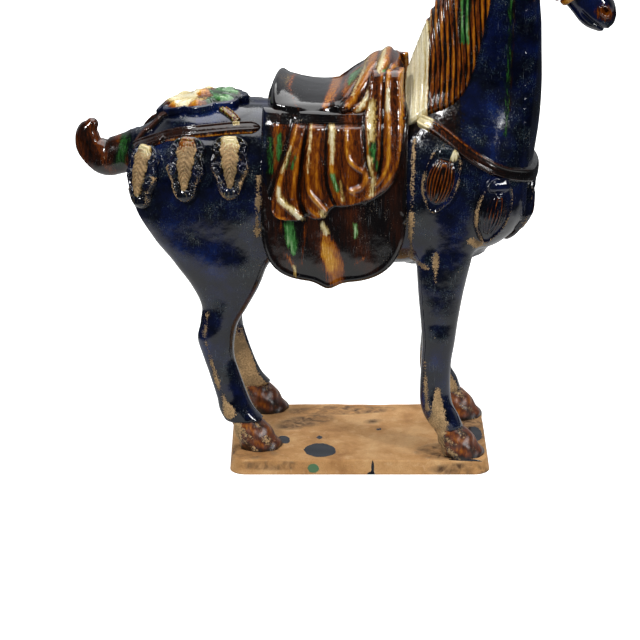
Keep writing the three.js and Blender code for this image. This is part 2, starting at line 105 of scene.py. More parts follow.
def slab_surface():
    """Rings round a rounded rectangle: out over the top from its middle, over a soft rim, down the
    sloping side, and in again underneath. The top is the thickness plus low waves of hand work, and
    the side is drawn in where the knife wavered."""
    share = np.linspace(0, 1, SLAB_NET["round"], endpoint=False)
    out = np.linspace(0, 1, SLAB_NET["out"]) ** 0.8
    rim = np.linspace(0, np.pi / 2, SLAB_NET["rim"])[1:]
    down = np.linspace(1, 0, SLAB_NET["down"])[1:]
    under = np.linspace(0.9, 0, SLAB_NET["under"])
    r, t, s = SLAB["rim"], SLAB["thick"], SLAB["slope"]
    rings = [
        [s + r + 0 * out, s + r - r * np.sin(rim), s * down**0.6, [0.8], 1.2 + 0 * under],
        [t + 0 * out, t - r + r * np.cos(rim), (t - r) * down, [0], 0 * under],
        [out, rim**0, down**0, [1], under],
    ]
    inset, height, scale = (np.concatenate(row)[:, None] for row in rings)
    x, y = rounded_rectangle(share, SLAB["long"], SLAB["wide"], SLAB["corner"])
    knife = 0.5 + 0.25 * np.sin(share * 62) + 0.25 * np.sin(share * 141 + 2)
    shrink = inset + 1.1 * knife * np.clip(height / t, 0, 1)
    x = x * (1 - 2 * shrink / SLAB["long"]) * scale
    y = y * (1 - 2 * shrink / SLAB["wide"]) * scale
    wave = 0.35 * np.sin(x / 21 + 1) * np.sin(y / 17)
    wave = wave + 0.2 * np.sin(x / 8.3 + y / 6.1) * np.sin(y / 9.7 - x / 13)
    return stacked(x, y, height + (wave - 0.35) * (height > t * 0.6))


def quads(rows, columns, round_rows=False, round_columns=False):
    """Corner numbers of the four-sided faces of a grid of points, closed on itself where asked."""
    i = np.arange(rows if round_rows else rows - 1)[:, None]
    left = np.arange(columns if round_columns else columns - 1)
    near, far, right = i * columns, (i + 1) % rows * columns, (left + 1) % columns
    return stacked(near + left, near + right, far + right, far + left).reshape(-1, 4)


def set_down(points):
    """From the horse's frame to the slab's: turned to the viewer and set back a little, in metres."""
    turn, back = math.radians(5.5), 6
    x, y, z = np.moveaxis(points, -1, 0)
    c, s = math.cos(turn), math.sin(turn)
    return stacked(x * c + y * s, -x * s + y * c + back, z) * MM


def piece(name, points, faces, material, marks):
    """A closed mesh of metres. Points that coincide become one, faces that this leaves with three
    corners stay as triangles, all face out, and marks are kept as numbers at the points."""
    grid = np.shape(points)[:-1]
    points = np.round(np.asarray(points, float).reshape(-1, 3), 7)
    points, first, number = np.unique(points, axis=0, return_index=True, return_inverse=True)
    faces = number.reshape(-1)[faces]
    same = faces == np.roll(faces, -1, axis=1)
    whole = faces[~same.any(1)]
    once = same.sum(1) == 1
    cut = np.concatenate([np.delete(faces[same[:, k] & once], k, axis=1) for k in range(4)])
    a, b, c, d = points[whole].transpose(1, 0, 2)
    outwards = points[whole].mean(1) - points.mean(0)
    if (np.cross(c - a, d - b) * outwards).sum() < 0:
        whole, cut = whole[:, ::-1], cut[:, ::-1]
    mesh = bpy.data.meshes.new(name)
    mesh.vertices.add(len(points))
    mesh.vertices.foreach_set("co", points.astype(np.float32).ravel())
    mesh.loops.add(whole.size + cut.size)
    mesh.loops.foreach_set("vertex_index", np.concatenate([whole.ravel(), cut.ravel()]).astype(np.int32))
    mesh.polygons.add(len(whole) + len(cut))
    starts = np.concatenate([np.arange(len(whole)) * 4, whole.size + np.arange(len(cut)) * 3])
    mesh.polygons.foreach_set("loop_start", starts.astype(np.int32))
    mesh.update(calc_edges=True)
    mesh.shade_smooth()
    for mark, value in marks.items():
        kept = mesh.attributes.new(mark, "FLOAT", "POINT")
        value = np.broadcast_to(value, grid).reshape(-1)[first]
        kept.data.foreach_set("value", value.astype(np.float32))
    mesh.materials.append(material)
    made = bpy.data.objects.new(name, mesh)
    bpy.context.scene.collection.objects.link(made)
    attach(made, "root")
    return made


def linear(code):
    """A colour given as sRGB hex, as linear light."""
    parts = [int(code[i : i + 2], 16) / 255 for i in (1, 3, 5)]
    return (*[v / 12.92 if v <= 0.04045 else ((v + 0.055) / 1.055) ** 2.4 for v in parts], 1)


def node(tree, kind, settings=None, **links):
    """Adds a node. Settings are its properties, the values of its sockets by name or number, or the
    stops of its ramp. Links join its sockets, by name or as i0, i1, to other nodes or their sockets."""
    made = tree.nodes.new("ShaderNode" + kind)
    for key, value in (settings or {}).items():
        if key == "stops":
            ramp = made.color_ramp.elements
            for n, (place, code) in enumerate(value):
                stop = ramp[n] if n < 2 else ramp.new(place)
                stop.position, stop.color = place, linear(code)
        elif isinstance(key, int) or key in made.inputs:
            made.inputs[key].default_value = value
        else:
            setattr(made, key, value)
    for key, source in links.items():
        socket = made.inputs[int(key[1:]) if key[1:].isdigit() else key.replace("_", " ")]
        if isinstance(source, bpy.types.Node):
            source = next(out for out in source.outputs if out.enabled)
        tree.links.new(source, socket)
    return made


def drips_reach(x, y, drips):
    """How far inside the nearest drip a point lies: its oval's mean half width times one minus the
    point's distance in half widths."""
    reach = np.full(x.shape, -99.0)
    for cx, cy, long, wide, degrees in drips:
        c, s = math.cos(math.radians(degrees)), math.sin(math.radians(degrees))
        a, b = (x - cx) * c + (y - cy) * s, (y - cy) * c - (x - cx) * s
        reach = np.maximum(reach, (long + wide) / 2 * (1 - np.hypot(a / long, b / wide)))
    return reach


def bare_earthenware():
    """Bare buff earthenware, low fired and handled: matt, ochre with paler and browner clouds, fine
    sandy grit and pores that catch the light, dark patches of grime and painted shade, and the odd drip
    of glossy glaze."""
    made = bpy.data.materials.new("bare_earthenware")
    made.use_nodes = True
    tree = made.node_tree
    tree.nodes.clear()
    place = node(tree, "TexCoord").outputs["Object"]
    # Patterns by the size of their clouds, smears, grit and pores in millimetres.
    cloud_scale, smear_scale, grit_scale, pore_scale = (1 / (size * MM) for size in (38, 9, 0.9, 2.6))
    cloud = node(tree, "TexNoise", {"Scale": cloud_scale, "Detail": 7, "Roughness": 0.62}, Vector=place)
    smear = node(tree, "TexNoise", {"Scale": smear_scale, "Detail": 4, "Distortion": 0.8}, Vector=place)
    grit = node(tree, "TexNoise", {"Scale": grit_scale, "Detail": 3, "Roughness": 0.7}, Vector=place)
    pores = node(tree, "TexVoronoi", {"Scale": pore_scale, "Randomness": 1}, Vector=place)
    ochre = [(0.3, "#996b3d"), (0.46, "#bb8b55"), (0.64, "#d0a470")]
    body = node(tree, "ValToRGB", {"stops": ochre}, Fac=cloud)
    pale = node(tree, "MapRange", {"From Min": 0.56, "From Max": 0.7, "To Max": 0.45}, Value=smear)
    mixed = node(tree, "Mix", {"data_type": "RGBA", 7: linear("#d8b384")}, i0=pale, i6=body)
    dark = node(tree, "MapRange", {"From Min": 0.46, "From Max": 0.34, "To Max": 0.5}, Value=grit)
    sandy = node(tree, "Mix", {"data_type": "RGBA", 7: linear("#7d4f28")}, i0=dark, i6=mixed)
    # Dark brown patches: grime, and painted shade round the hooves, under the belly and on the near face
    # below them.
    dirt_and_shade = node(tree, "Attribute", {"attribute_name": "dirt_and_shade"}).outputs["Fac"]
    patchy = node(tree, "Math", {"operation": "ADD"}, i0=cloud, i1=smear)
    patchy = node(tree, "MapRange", {"From Min": 0.8, "From Max": 1.25, "To Max": 0.65}, Value=patchy)
    grime_and_shade = node(tree, "Math", {"operation": "MULTIPLY"}, i0=dirt_and_shade, i1=patchy)
    soiled_and_shaded = node(tree, "Mix", {"data_type": "RGBA", 7: linear("#4a2f18")}, i0=grime_and_shade, i6=sandy)
    ragged = node(tree, "Math", {"operation": "MULTIPLY_ADD", 1: 5.0, 2: -2.5}, i0=smear)
    colour, glossy = soiled_and_shaded, None
    for mark, code in (("blue_drip", "#12161f"), ("green_drip", "#4f7350")):
        reach = node(tree, "Attribute", {"attribute_name": mark}).outputs["Fac"]
        edge = node(tree, "Math", {"operation": "ADD"}, i0=reach, i1=ragged)
        eased = {"From Min": -0.3, "From Max": 0.5, "interpolation_type": "SMOOTHSTEP"}
        wet = node(tree, "MapRange", eased, Value=edge)
        colour = node(tree, "Mix", {"data_type": "RGBA", 7: linear(code)}, i0=wet, i6=colour)
        glossy = node(tree, "Math", {"operation": "MAXIMUM"}, i0=wet, i1=glossy) if glossy else wet
    matt = node(tree, "MapRange", {"To Min": 0.85, "To Max": 0.14}, Value=glossy)
    pit = node(tree, "MapRange", {"From Max": 0.22}, Value=pores)
    grain = node(tree, "Math", {"operation": "MULTIPLY_ADD", 1: 0.5}, i0=grit, i2=pit)
    raw = node(tree, "Math", {"operation": "MULTIPLY_ADD", 1: -1.0, 2: 1.0}, i0=glossy)
    relief = node(tree, "Math", {"operation": "MULTIPLY"}, i0=grain, i1=raw)
    bump = node(tree, "Bump", {"Strength": 0.5, "Distance": 0.35 * MM}, Height=relief)
    thick = node(tree, "Bump", {"Strength": 0.8, "Distance": 0.8 * MM}, Height=glossy, Normal=bump)
    shader = node(tree, "BsdfPrincipled", {"IOR": 1.5}, Base_Color=colour, Roughness=matt, Normal=thick)
    node(tree, "OutputMaterial", Surface=shader)
    return made


clay = bare_earthenware()
slab_points = slab_surface()
slab_x, slab_y, slab_z = np.moveaxis(slab_points, -1, 0)
# On the long sides, drips and the dark patches of grime and painted shade are placed by the way down from
# the top edge.
slab_y = slab_y + np.sign(slab_y) * (SLAB["thick"] - slab_z) * (np.abs(slab_y) > 60)
slab_marks = {
    "blue_drip": drips_reach(slab_x, slab_y, BLUE_DRIPS),
    "green_drip": drips_reach(slab_x, slab_y, GREEN_DRIPS),
    # Grime, and painted shade round the hooves and under the belly.
    "dirt_and_shade": 1.5 * np.clip(drips_reach(slab_x, slab_y, GRIME_AND_SHADE) / 9, 0, 1) ** 0.7,
}
slab_faces = quads(*slab_points.shape[:2], round_columns=True)
piece("base_slab", slab_points * MM, slab_faces, clay, slab_marks)


# Body: barrel, neck, legs and docked tail, pressed in moulds as hollow shells of buff clay, luted
# together, smoothed over by hand and covered with cobalt glaze that runs thin over the ridges.
# Barrel: [x, back, belly, half width, squareness of its section].
BARREL = [
    [-247, 322, 316, 3, 2],
    [-243, 346, 290, 29, 2],
    [-229, 364, 266, 53, 2.2],
    [-205, 382, 252, 68, 2.3],
    [-165, 393, 240, 76, 2.3],
    [-105, 392, 226, 76, 2.3],
    [-30, 391, 215, 77, 2.3],
    [40, 398, 219, 76, 2.3],
    [95, 404, 225, 74, 2.3],
    [138, 400, 240, 67, 2.2],
    [159, 384, 252, 55, 2.1],
    [171, 362, 266, 40, 2],
    [176, 344, 286, 25, 2],
    [178, 320, 314, 3, 2],
]
# Neck: [z, crest x, throat x, half width].
NECK = [
    [244, 72, 128, 30],
    [266, 48, 154, 50],
    [290, 34, 170, 60],
    [335, 34, 180.5, 62],
    [380, 41, 189, 55],
    [420, 52, 191.5, 46],
    [460, 66, 190, 41],
    [500, 82, 188, 37],
    [540, 101, 185, 33],
    [575, 121, 182, 29],
    [602, 140, 184, 24],
    [618, 154, 176, 14],
]
# Legs down to the pastern: [z, back x, front x, middle y, half width].
FORELEG = [
    [46, 85, 119, 58, 16],
    [58, 77, 114, 58, 16.5],
    [72, 72, 107, 58, 15.5],
    [90, 71, 104, 57.5, 14],
    [120, 72, 104.5, 57, 14],
    [144, 72.5, 108, 56, 16],
    [170, 70.5, 111.5, 55, 17],
    [200, 67.5, 116.5, 53, 19],
    [235, 65, 124, 50, 22],
    [270, 62, 132, 46, 24],
    [310, 66, 132, 40, 24],
]
HINDLEG = [
    [46, -143, -99, 57, 16],
    [58, -149, -110, 56.5, 16],
    [72, -152, -117, 56, 15],
    [100, -160.5, -127, 55.5, 14],
    [120, -167, -132.5, 55.5, 14.5],
    [140, -172.5, -132, 55, 16.5],
    [158, -168.5, -128, 54.5, 17],
    [176, -167, -118, 54, 18],
    [200, -179, -105, 52, 22],
    [225, -197, -96, 50, 27],
    [250, -219, -89, 47, 31],
    [285, -237, -86, 42, 36],
    [320, -239, -94, 38, 38],
    [340, -231, -104, 34, 35],
    [354, -217, -118, 28, 27],
    [364, -200, -136, 20, 16],
]
FAR_STEP = {"fore": -8, "hind": -5}
# Docked tail, curled up: [step, x, z, half thickness, half width].
TAIL = [
    [0, -228, 338, 22, 15],
    [1, -246, 334, 22, 18],
    [2, -264, 328, 21.5, 17],
    [3, -279, 325.5, 20.5, 15],
    [4, -294, 335, 16, 13],
    [5, -298, 345, 14, 12],
    [6, -297, 355, 12, 10],
    [7, -293, 362, 7, 7],
]
# Swellings and hollows of muscle and bone: [x, y, z, reach along x, y and z, rise], alike on both sides.
MUSCLES = [
    [-112, 66, 300, 24, 14, 30, 3.0],
    [-170, 70, 300, 26, 12, 34, 2.0],
    [-100, 74, 246, 9, 12, 26, -2.5],
    [-150, 50, 150, 10, 20, 10, 1.6],
    [-170, 54, 168, 6, 12, 14, 1.2],
    [-146, 70, 196, 10, 9, 26, -1.6],
    [-188, 66, 226, 14, 10, 22, 1.6],
    [92, 56, 146, 10, 20, 12, 1.2],
    [92, 56, 168, 12, 20, 7, -1.0],
    [110, 56, 112, 4, 9, 22, 0.8],
    [88, 71, 108, 3.5, 4, 26, -1.4],
    [-146, 70, 96, 4, 4, 26, -1.4],
    [78, 70, 258, 8, 12, 26, -3.0],
    [104, 66, 262, 20, 12, 30, 2.5],
    [150, 34, 300, 20, 18, 24, 2.6],
    [182, 0, 312, 14, 7, 34, -3.2],
    [98, 60, 60, 10, 14, 7, 1.2],
    [-132, 58, 60, 10, 14, 7, 1.2],
    [-150, 0, 394, 70, 9, 10, -2.0],
    [-214, 0, 300, 40, 7, 34, -3.0],
]
MELT = {"neck": 30, "hind": 22, "fore": 12, "tail": 12, "head": 16}


def through(rows, key):
    """Values on a smooth curve through rows of numbers, at keys in their first column: cubic pieces
    whose slope at each row is that from the row before it to the row after it."""
    rows = np.asarray(rows, float)
    at, value = rows[:, 0], rows[:, 1:]
    last = len(at) - 1
    before, after = np.maximum(np.arange(last + 1) - 1, 0), np.minimum(np.arange(last + 1) + 1, last)
    slope = (value[after] - value[before]) / (at[after] - at[before])[:, None]
    key = np.clip(key, at[0], at[-1])
    i = np.clip(np.searchsorted(at, key, side="right") - 1, 0, last - 1)
    span = (at[i + 1] - at[i])[..., None]
    f = (key - at[i])[..., None] / span
    f2, f3 = f * f, f * f * f
    steady = value[i] * (2 * f3 - 3 * f2 + 1) + value[i + 1] * (3 * f2 - 2 * f3)
    return np.moveaxis(steady + span * (slope[i] * (f3 - 2 * f2 + f) + slope[i + 1] * (f3 - f2)), -1, 0)


def oval_gap(a, b, half_a, half_b, square=2.0):
    """How far a point lies outside an oval, along the line from its middle: r - r / q, where q is
    the nth root of |a / half_a|^n + |b / half_b|^n and n is the oval's squareness."""
    q = ((np.abs(a) / half_a) ** square + (np.abs(b) / half_b) ** square) ** (1 / square)
    r, tiny = np.hypot(a, b), 1e-4
    return r - (r + tiny * np.minimum(half_a, half_b)) / (q + tiny)


def beyond(rows, key):
    """How far a key lies past either end of the rows."""
    return np.maximum(rows[0][0] - key, key - rows[-1][0])


def steepened(bare, key, at=None):
    """A gap across ovals that change along a key, made near true distance: divided by the length
    of (1, its slope along the key), with the slope taken at the key itself or where given."""
    at = key if at is None else at
    slope = (bare(at + 1) - bare(at - 1)) / 2
    return bare(key) / np.sqrt(1 + slope**2)


def barrel_gap(x, y, z):
    """Upright ovals along the barrel. The slope is taken inside its ends, where the ovals change."""

    def bare(x):
        back, belly, wide, square = through(BARREL, x)
        return oval_gap(y, z - (back + belly) / 2, wide, (back - belly) / 2, square)

    within = np.clip(x, BARREL[0][0] + 1, BARREL[-1][0] - 1)
    return np.maximum(steepened(bare, x, within), beyond(BARREL, x))


def neck_gap(x, y, z):
    """Level ovals between crest and throat."""

    def bare(z):
        crest, throat, wide = through(NECK, z)
        gap = oval_gap(x - (crest + throat) / 2, y, (throat - crest) / 2, wide)
        return np.maximum(gap, beyond(NECK, z))

    return steepened(bare, z)


def smooth_step(share):
    """A share from 0 to 1 eased at both ends: 3 s^2 - 2 s^3."""
    share = np.clip(share, 0, 1)
    return share * share * (3 - 2 * share)


def leg_gap(rows, far_step, x, y, z):
    """Level ovals down a leg, the far leg stepped back in a smooth curve towards its foot."""

    def bare(z):
        back, front, middle, wide = through(rows, z)
        step = far_step * smooth_step((rows[-1][0] - z) / (rows[-1][0] - rows[0][0])) * (y > 0)
        gap = oval_gap(x - (back + front) / 2 - step, np.abs(y) - middle, (front - back) / 2, wide, 2.2)
        return np.maximum(gap, beyond(rows, z))

    return steepened(bare, z)


def tail_gap(x, y, z):
    """Ovals round a curve in the middle plane, taken at the nearest of many points along it."""
    middle_x, middle_z, thick, wide = through(TAIL, np.linspace(0, TAIL[-1][0], 141))
    away = np.hypot(x[..., None] - middle_x, z[..., None] - middle_z)
    nearest = away.argmin(-1)
    return oval_gap(away.min(-1), y, thick[nearest], wide[nearest])


def melt(a, b, reach):
    """The nearer of two gaps, rounded into each other where they differ by less than the reach."""
    h = np.maximum(reach - np.abs(a - b), 0) / reach
    return np.minimum(a, b) - h * h * reach / 4


def trunk_gap(x, y, z):
    """Barrel, neck and legs melted into one, which the trappings lie on."""
    trunk = melt(barrel_gap(x, y, z), neck_gap(x, y, z), MELT["neck"])
    trunk = melt(trunk, leg_gap(HINDLEG, FAR_STEP["hind"], x, y, z), MELT["hind"])
    return melt(trunk, leg_gap(FORELEG, FAR_STEP["fore"], x, y, z), MELT["fore"])


def swollen(gap, swellings, a, b, c):
    """A gap less the rise of each swelling, times e^-d^2 with d the distance in reaches along each of
    three ways: [its place along them, its reach along them, its rise]."""
    for at_a, at_b, at_c, reach_a, reach_b, reach_c, rise in swellings:
        bell = np.exp(-(((a - at_a) / reach_a) ** 2)) * np.exp(-(((b - at_b) / reach_b) ** 2))
        gap = gap - rise * bell * np.exp(-(((c - at_c) / reach_c) ** 2))
    return gap


def horse_gap(x, y, z):
    """The trunk with its tail and its muscles."""
    gap = melt(trunk_gap(x, y, z), tail_gap(x, y, z), MELT["tail"])
    return swollen(gap, MUSCLES, x, np.abs(y), z)


# Head, in its own frame: [distance from the poll, forehead side, jaw side, half width].
POLL, DROOP = (160, 601), math.radians(47)
HEAD = [
    [-26, 4, -12, 8],
    [-18, 17, -27, 20],
    [0, 26, -39, 26],
    [24, 31, -49, 28],
    [46, 30, -47, 27],
    [70, 24, -34, 22],
    [95, 19, -24, 17.5],
    [118, 19, -22, 18],
    [138, 17, -22, 18.5],
    [151, 10, -16, 14],
    [156, 3, -8, 7],
]


def off_head(x, z):
    """How far along the head from the poll, and how far out towards the forehead, a point lies."""
    c, s = math.cos(DROOP), math.sin(DROOP)
    return (x - POLL[0]) * c - (z - POLL[1]) * s, (x - POLL[0]) * s + (z - POLL[1]) * c


def skull_gap(x, y, z):
    """Ovals across the head along its length."""
    along, out = off_head(x, z)

    def bare(along):
        brow, jaw, wide = through(HEAD, along)
        gap = oval_gap(out - (brow + jaw) / 2, y, (brow - jaw) / 2, wide, 2.3)
        return np.maximum(gap, beyond(HEAD, along))

    return steepened(bare, along)


def figure_gap(x, y, z):
    """The horse with its head melted on."""
    return melt(horse_gap(x, y, z), skull_gap(x, y, z), MELT["head"])


# The slanting cut behind ears and jaw where head and body meet: a point of it, and its slant.
CROWN = {"x": 186, "z": 548, "along": 0.842, "up": 0.539}


def crown_gap(x, z):
    """How far a point lies on the head's side of the cut."""
    return (x - CROWN["x"]) * CROWN["along"] + (z - CROWN["z"]) * CROWN["up"]


def net_over(gap, low, high, step):
    """Points and faces where a gap is zero. Space is cut into cubes: each cube that the surface
    crosses holds one point, the mean of the crossings on its edges, and each crossed edge is
    covered by one face between the four cubes round it."""
    axes = [np.arange(a, b + step, step) for a, b in zip(low, high)]
    value = gap(*np.meshgrid(*axes, indexing="ij", sparse=True))
    cubes = np.array(value.shape) - 1
    total, count, faces = np.zeros((np.prod(cubes), 3)), np.zeros(np.prod(cubes)), []
    for axis in range(3):
        near, far = np.moveaxis(value, axis, 0)[:-1], np.moveaxis(value, axis, 0)[1:]
        crossed = np.nonzero((near < 0) != (far < 0))
        start = np.stack(crossed, 1)
        at = start.astype(float)
        at[:, 0] += near[crossed] / (near[crossed] - far[crossed])
        a, b = (k for k in range(3) if k != axis)
        order = np.argsort([axis, a, b])
        start, at = start[:, order], at[:, order]
        ring = []
        for back_a, back_b in ((1, 1), (0, 1), (0, 0), (1, 0)):
            cube = start.copy()
            cube[:, a] -= back_a
            cube[:, b] -= back_b
            number = np.ravel_multi_index(cube.T, cubes)
            ring.append(number)
            for k in range(3):
                total[:, k] += np.bincount(number, weights=at[:, k], minlength=len(count))
            count += np.bincount(number, minlength=len(count))
        ring = np.stack(ring, 1)
        outwards = (near[crossed] < 0) != (axis == 1)
        faces.append(np.where(outwards[:, None], ring, ring[:, ::-1]))
    kept = np.nonzero(count)[0]
    points = np.array(low) + step * total[kept] / count[kept, None]
    renumber = np.cumsum(count > 0) - 1
    return points, renumber[np.concatenate(faces)]


def slope_of(gap, points, reach=0.4):
    """The gap at points and its slope along x, y and z, from differences either side."""
    steps = np.eye(3) * reach
    slope = [(gap(*(points + step).T) - gap(*(points - step).T)) / (2 * reach) for step in steps]
    return gap(*points.T), np.stack(slope, 1)


def settled(points, faces, gap, rounds, side):
    """Points evened out among their neighbours and then moved along the slope onto the surface,
    except those within a millimetre of the cut behind the head. Side is 1 for the head, -1 for
    the body."""
    ahead, behind = faces.ravel(), np.roll(faces, 1, axis=1).ravel()
    here, there = np.concatenate([ahead, behind]), np.concatenate([behind, ahead])
    shared = np.bincount(here, minlength=len(points))[:, None]
    for _ in range(rounds):
        total = [np.bincount(here, weights=column[there], minlength=len(points)) for column in points.T]
        loose = side * crown_gap(points[:, 0], points[:, 2]) > 1
        moved = (points + 0.5 * (np.stack(total, 1) / shared - points))[loose]
        value, slope = slope_of(gap, moved)
        moved = moved - np.clip((value / (slope**2).sum(1))[:, None] * slope, -2, 2)
        points = points.copy()
        points[loose] = moved
    return points


# The body's skin: lead glaze over bare clay, dipped and brushed in cobalt, amber, green and clear cream.
# Its mesh is one net over barrel, neck, legs and tail, which meets the head's at the slanting cut.
def lead_glaze(name, streak=(2.2, 16.0), grain=1.0, satin=0.06):
    """Sancai lead glaze, fired at low heat and long buried: a deep glassy coat that runs downwards,
    so that colours end in ragged streaks and thin to clay on the ridges, finely crazed and scratched,
    mirror smooth where it is whole and matt where it is worn off. Marks hold, in millimetres, how
    far inside each colour a point lies, and pool says how deep the coat is, from -1 to 1. Satin is
    the roughness of the whole coat."""
    made = bpy.data.materials.new(name)
    made.use_nodes = True
    tree = made.node_tree
    tree.nodes.clear()
    place = node(tree, "TexCoord").outputs["Object"]
    # Patterns by the size of their clouds, flecks, orange peel, patches and crazing in millimetres,
    # and by the width and length of runs and scratches.
    sizes = (38, 1.7 * grain, 11, 22, 2.8)
    cloud_scale, fleck_scale, peel_scale, patch_scale, craze_scale = (1 / (size * MM) for size in sizes)
    run_scale, rub_scale = ((1 / (w * MM), 1 / (w * MM), 1 / (h * MM)) for w, h in (streak, (0.9, 17)))
    run_place = node(tree, "Mapping", {"Scale": run_scale}, Vector=place)
    runs = node(tree, "TexNoise", {"Scale": 1.0, "Detail": 5, "Roughness": 0.6}, Vector=run_place)
    cloud = node(tree, "TexNoise", {"Scale": cloud_scale, "Detail": 6, "Roughness": 0.62}, Vector=place)
    fleck = node(tree, "TexNoise", {"Scale": fleck_scale, "Detail": 4, "Roughness": 0.75}, Vector=place)
    smooth = node(tree, "TexNoise", {"Scale": peel_scale, "Detail": 2, "Roughness": 0.4}, Vector=place)
    patch = node(tree, "TexNoise", {"Scale": patch_scale, "Detail": 3, "Roughness": 0.55}, Vector=place)
    rub_place = node(tree, "Mapping", {"Rotation": (0.5, 0.9, 0.2), "Scale": rub_scale}, Vector=place)
    scratch = node(tree, "TexNoise", {"Scale": 1.0, "Detail": 2, "Roughness": 0.5}, Vector=rub_place)
    craze = {"feature": "DISTANCE_TO_EDGE", "Scale": craze_scale}
    crazing = node(tree, "TexVoronoi", craze, Vector=place)
    pool = node(tree, "Attribute", {"attribute_name": "pool"}).outputs["Fac"]

    wander = node(tree, "Math", {"operation": "MULTIPLY_ADD", 1: 9.0, 2: -4.5}, i0=runs)
    ragged = node(tree, "Math", {"operation": "MULTIPLY_ADD", 1: 3.4}, i0=fleck, i2=wander)
    ragged = node(tree, "Math", {"operation": "ADD", 1: -1.7}, i0=ragged)
    depth = node(tree, "Math", {"operation": "MULTIPLY_ADD", 1: 0.55, 2: 0.22}, i0=runs)
    depth = node(tree, "Math", {"operation": "MULTIPLY_ADD", 1: -0.36}, i0=pool, i2=depth)

    deep = [(0.32, "#020309"), (0.47, "#05091b"), (0.59, "#091236"), (0.73, "#0f2457")]
    deep = node(tree, "ValToRGB", {"stops": deep}, Fac=cloud)
    speckle = node(tree, "Math", {"operation": "MULTIPLY_ADD", 1: 0.55}, i0=patch, i2=fleck)
    teal = node(tree, "MapRange", {"From Min": 0.82, "From Max": 1.02, "To Max": 0.45}, Value=speckle)
    colour = node(tree, "Mix", {"data_type": "RGBA", 7: linear("#3b5358")}, i0=teal, i6=deep)
    amber = [(0.22, "#0c0502"), (0.36, "#2e1205"), (0.5, "#642d07"), (0.64, "#a05c0c")]
    amber += [(0.78, "#cc922a"), (0.94, "#ead594")]
    # The cream coat paints cream glaze, and also the highlights painted on the rosette, the seat's folds
    # and the crests of the cloth's folds.
    coats = (
        ("dark", [(0.24, "#040406"), (0.46, "#0d0807"), (0.6, "#241008"), (0.78, "#46200c")]),
        ("amber", amber),
        ("green", [(0.24, "#0a160a"), (0.42, "#245020"), (0.58, "#468442"), (0.8, "#b0cc9c")]),
        ("cream_and_highlight", [(0.2, "#54360f"), (0.36, "#b0924e"), (0.52, "#d6c794"), (0.8, "#ece4c6")]),
    )
    soft_edge = {"From Min": -1.7, "From Max": 1.5, "interpolation_type": "SMOOTHSTEP"}
    for mark, stops in coats:
        reach = node(tree, "Attribute", {"attribute_name": mark}).outputs["Fac"]
        edge = node(tree, "Math", {"operation": "ADD"}, i0=reach, i1=ragged)
        laid = node(tree, "MapRange", soft_edge, Value=edge)
        margin = node(tree, "MapRange", {"From Max": 3.2, "To Min": -0.15, "To Max": 0.0}, Value=edge)
        thinned = node(tree, "Math", {"operation": "ADD"}, i0=depth, i1=margin)
        coat = node(tree, "ValToRGB", {"stops": stops}, Fac=thinned)
        colour = node(tree, "Mix", {"data_type": "RGBA"}, i0=laid, i6=colour, i7=coat)

    line = node(tree, "MapRange", {"From Max": 0.07, "To Min": 0.35, "To Max": 0.0}, Value=crazing)
    stained_line = {"data_type": "RGBA", "blend_type": "MULTIPLY", 7: (0.3, 0.25, 0.2, 1)}
    colour = node(tree, "Mix", stained_line, i0=line, i6=colour)

    lines = node(tree, "Math", {"operation": "MULTIPLY_ADD", 1: 0.4}, i0=patch, i2=scratch)
    lines = node(tree, "MapRange", {"From Min": 0.87, "From Max": 0.97, "To Max": 0.3}, Value=lines)
    colour = node(tree, "Mix", {"data_type": "RGBA", 7: linear("#7c8488")}, i0=lines, i6=colour)

    worn = node(tree, "Attribute", {"attribute_name": "clay"}).outputs["Fac"]
    crumbled = node(tree, "Math", {"operation": "MULTIPLY_ADD", 1: 13.0, 2: -6.5}, i0=fleck)
    crumbled = node(tree, "Math", {"operation": "MULTIPLY_ADD", 1: 11.0}, i0=patch, i2=crumbled)
    crumbled = node(tree, "Math", {"operation": "ADD"}, i0=crumbled, i1=worn)
    crumbled = node(tree, "Math", {"operation": "SUBTRACT", 1: 5.5}, i0=crumbled)
    worn_edge = {"From Min": -0.3, "From Max": 0.8, "interpolation_type": "SMOOTHSTEP"}
    bare = node(tree, "MapRange", worn_edge, Value=crumbled)
    chips = node(tree, "MapRange", {"From Min": 0.99, "From Max": 1.07}, Value=speckle)
    bare = node(tree, "Math", {"operation": "MAXIMUM"}, i0=bare, i1=chips)
    buff = [(0.3, "#5a4830"), (0.44, "#957850"), (0.58, "#bb9767"), (0.74, "#d2b588")]
    clay_tone = node(tree, "ValToRGB", {"stops": buff}, Fac=fleck)
    stain = node(tree, "MapRange", {"From Min": 0.44, "From Max": 0.62, "To Max": 0.75}, Value=cloud)
    clay_tone = node(tree, "Mix", {"data_type": "RGBA", 7: linear("#55452c")}, i0=stain, i6=clay_tone)
    colour = node(tree, "Mix", {"data_type": "RGBA"}, i0=bare, i6=colour, i7=clay_tone)

    dulled = {"From Min": 0.75, "From Max": 1.0, "To Min": satin, "To Max": 0.34}
    dull = node(tree, "MapRange", dulled, Value=speckle)
    rough = node(tree, "Mix", {"data_type": "FLOAT", 3: 0.8}, i0=bare, i2=dull)
    peel = node(tree, "Bump", {"Strength": 0.45, "Distance": 0.8 * MM}, Height=smooth)
    pitted = node(tree, "Bump", {"Strength": 0.16, "Distance": 0.25 * MM}, Height=fleck, Normal=peel)
    whole = node(tree, "Math", {"operation": "MULTIPLY_ADD", 1: -1.0, 2: 1.0}, i0=bare)
    stepped = node(tree, "Bump", {"Strength": 0.6, "Distance": 0.3 * MM}, Height=whole, Normal=pitted)
    shader = node(tree, "BsdfPrincipled", {"IOR": 1.6}, Base_Color=colour, Roughness=rough, Normal=stepped)
    node(tree, "OutputMaterial", Surface=shader)
    return made


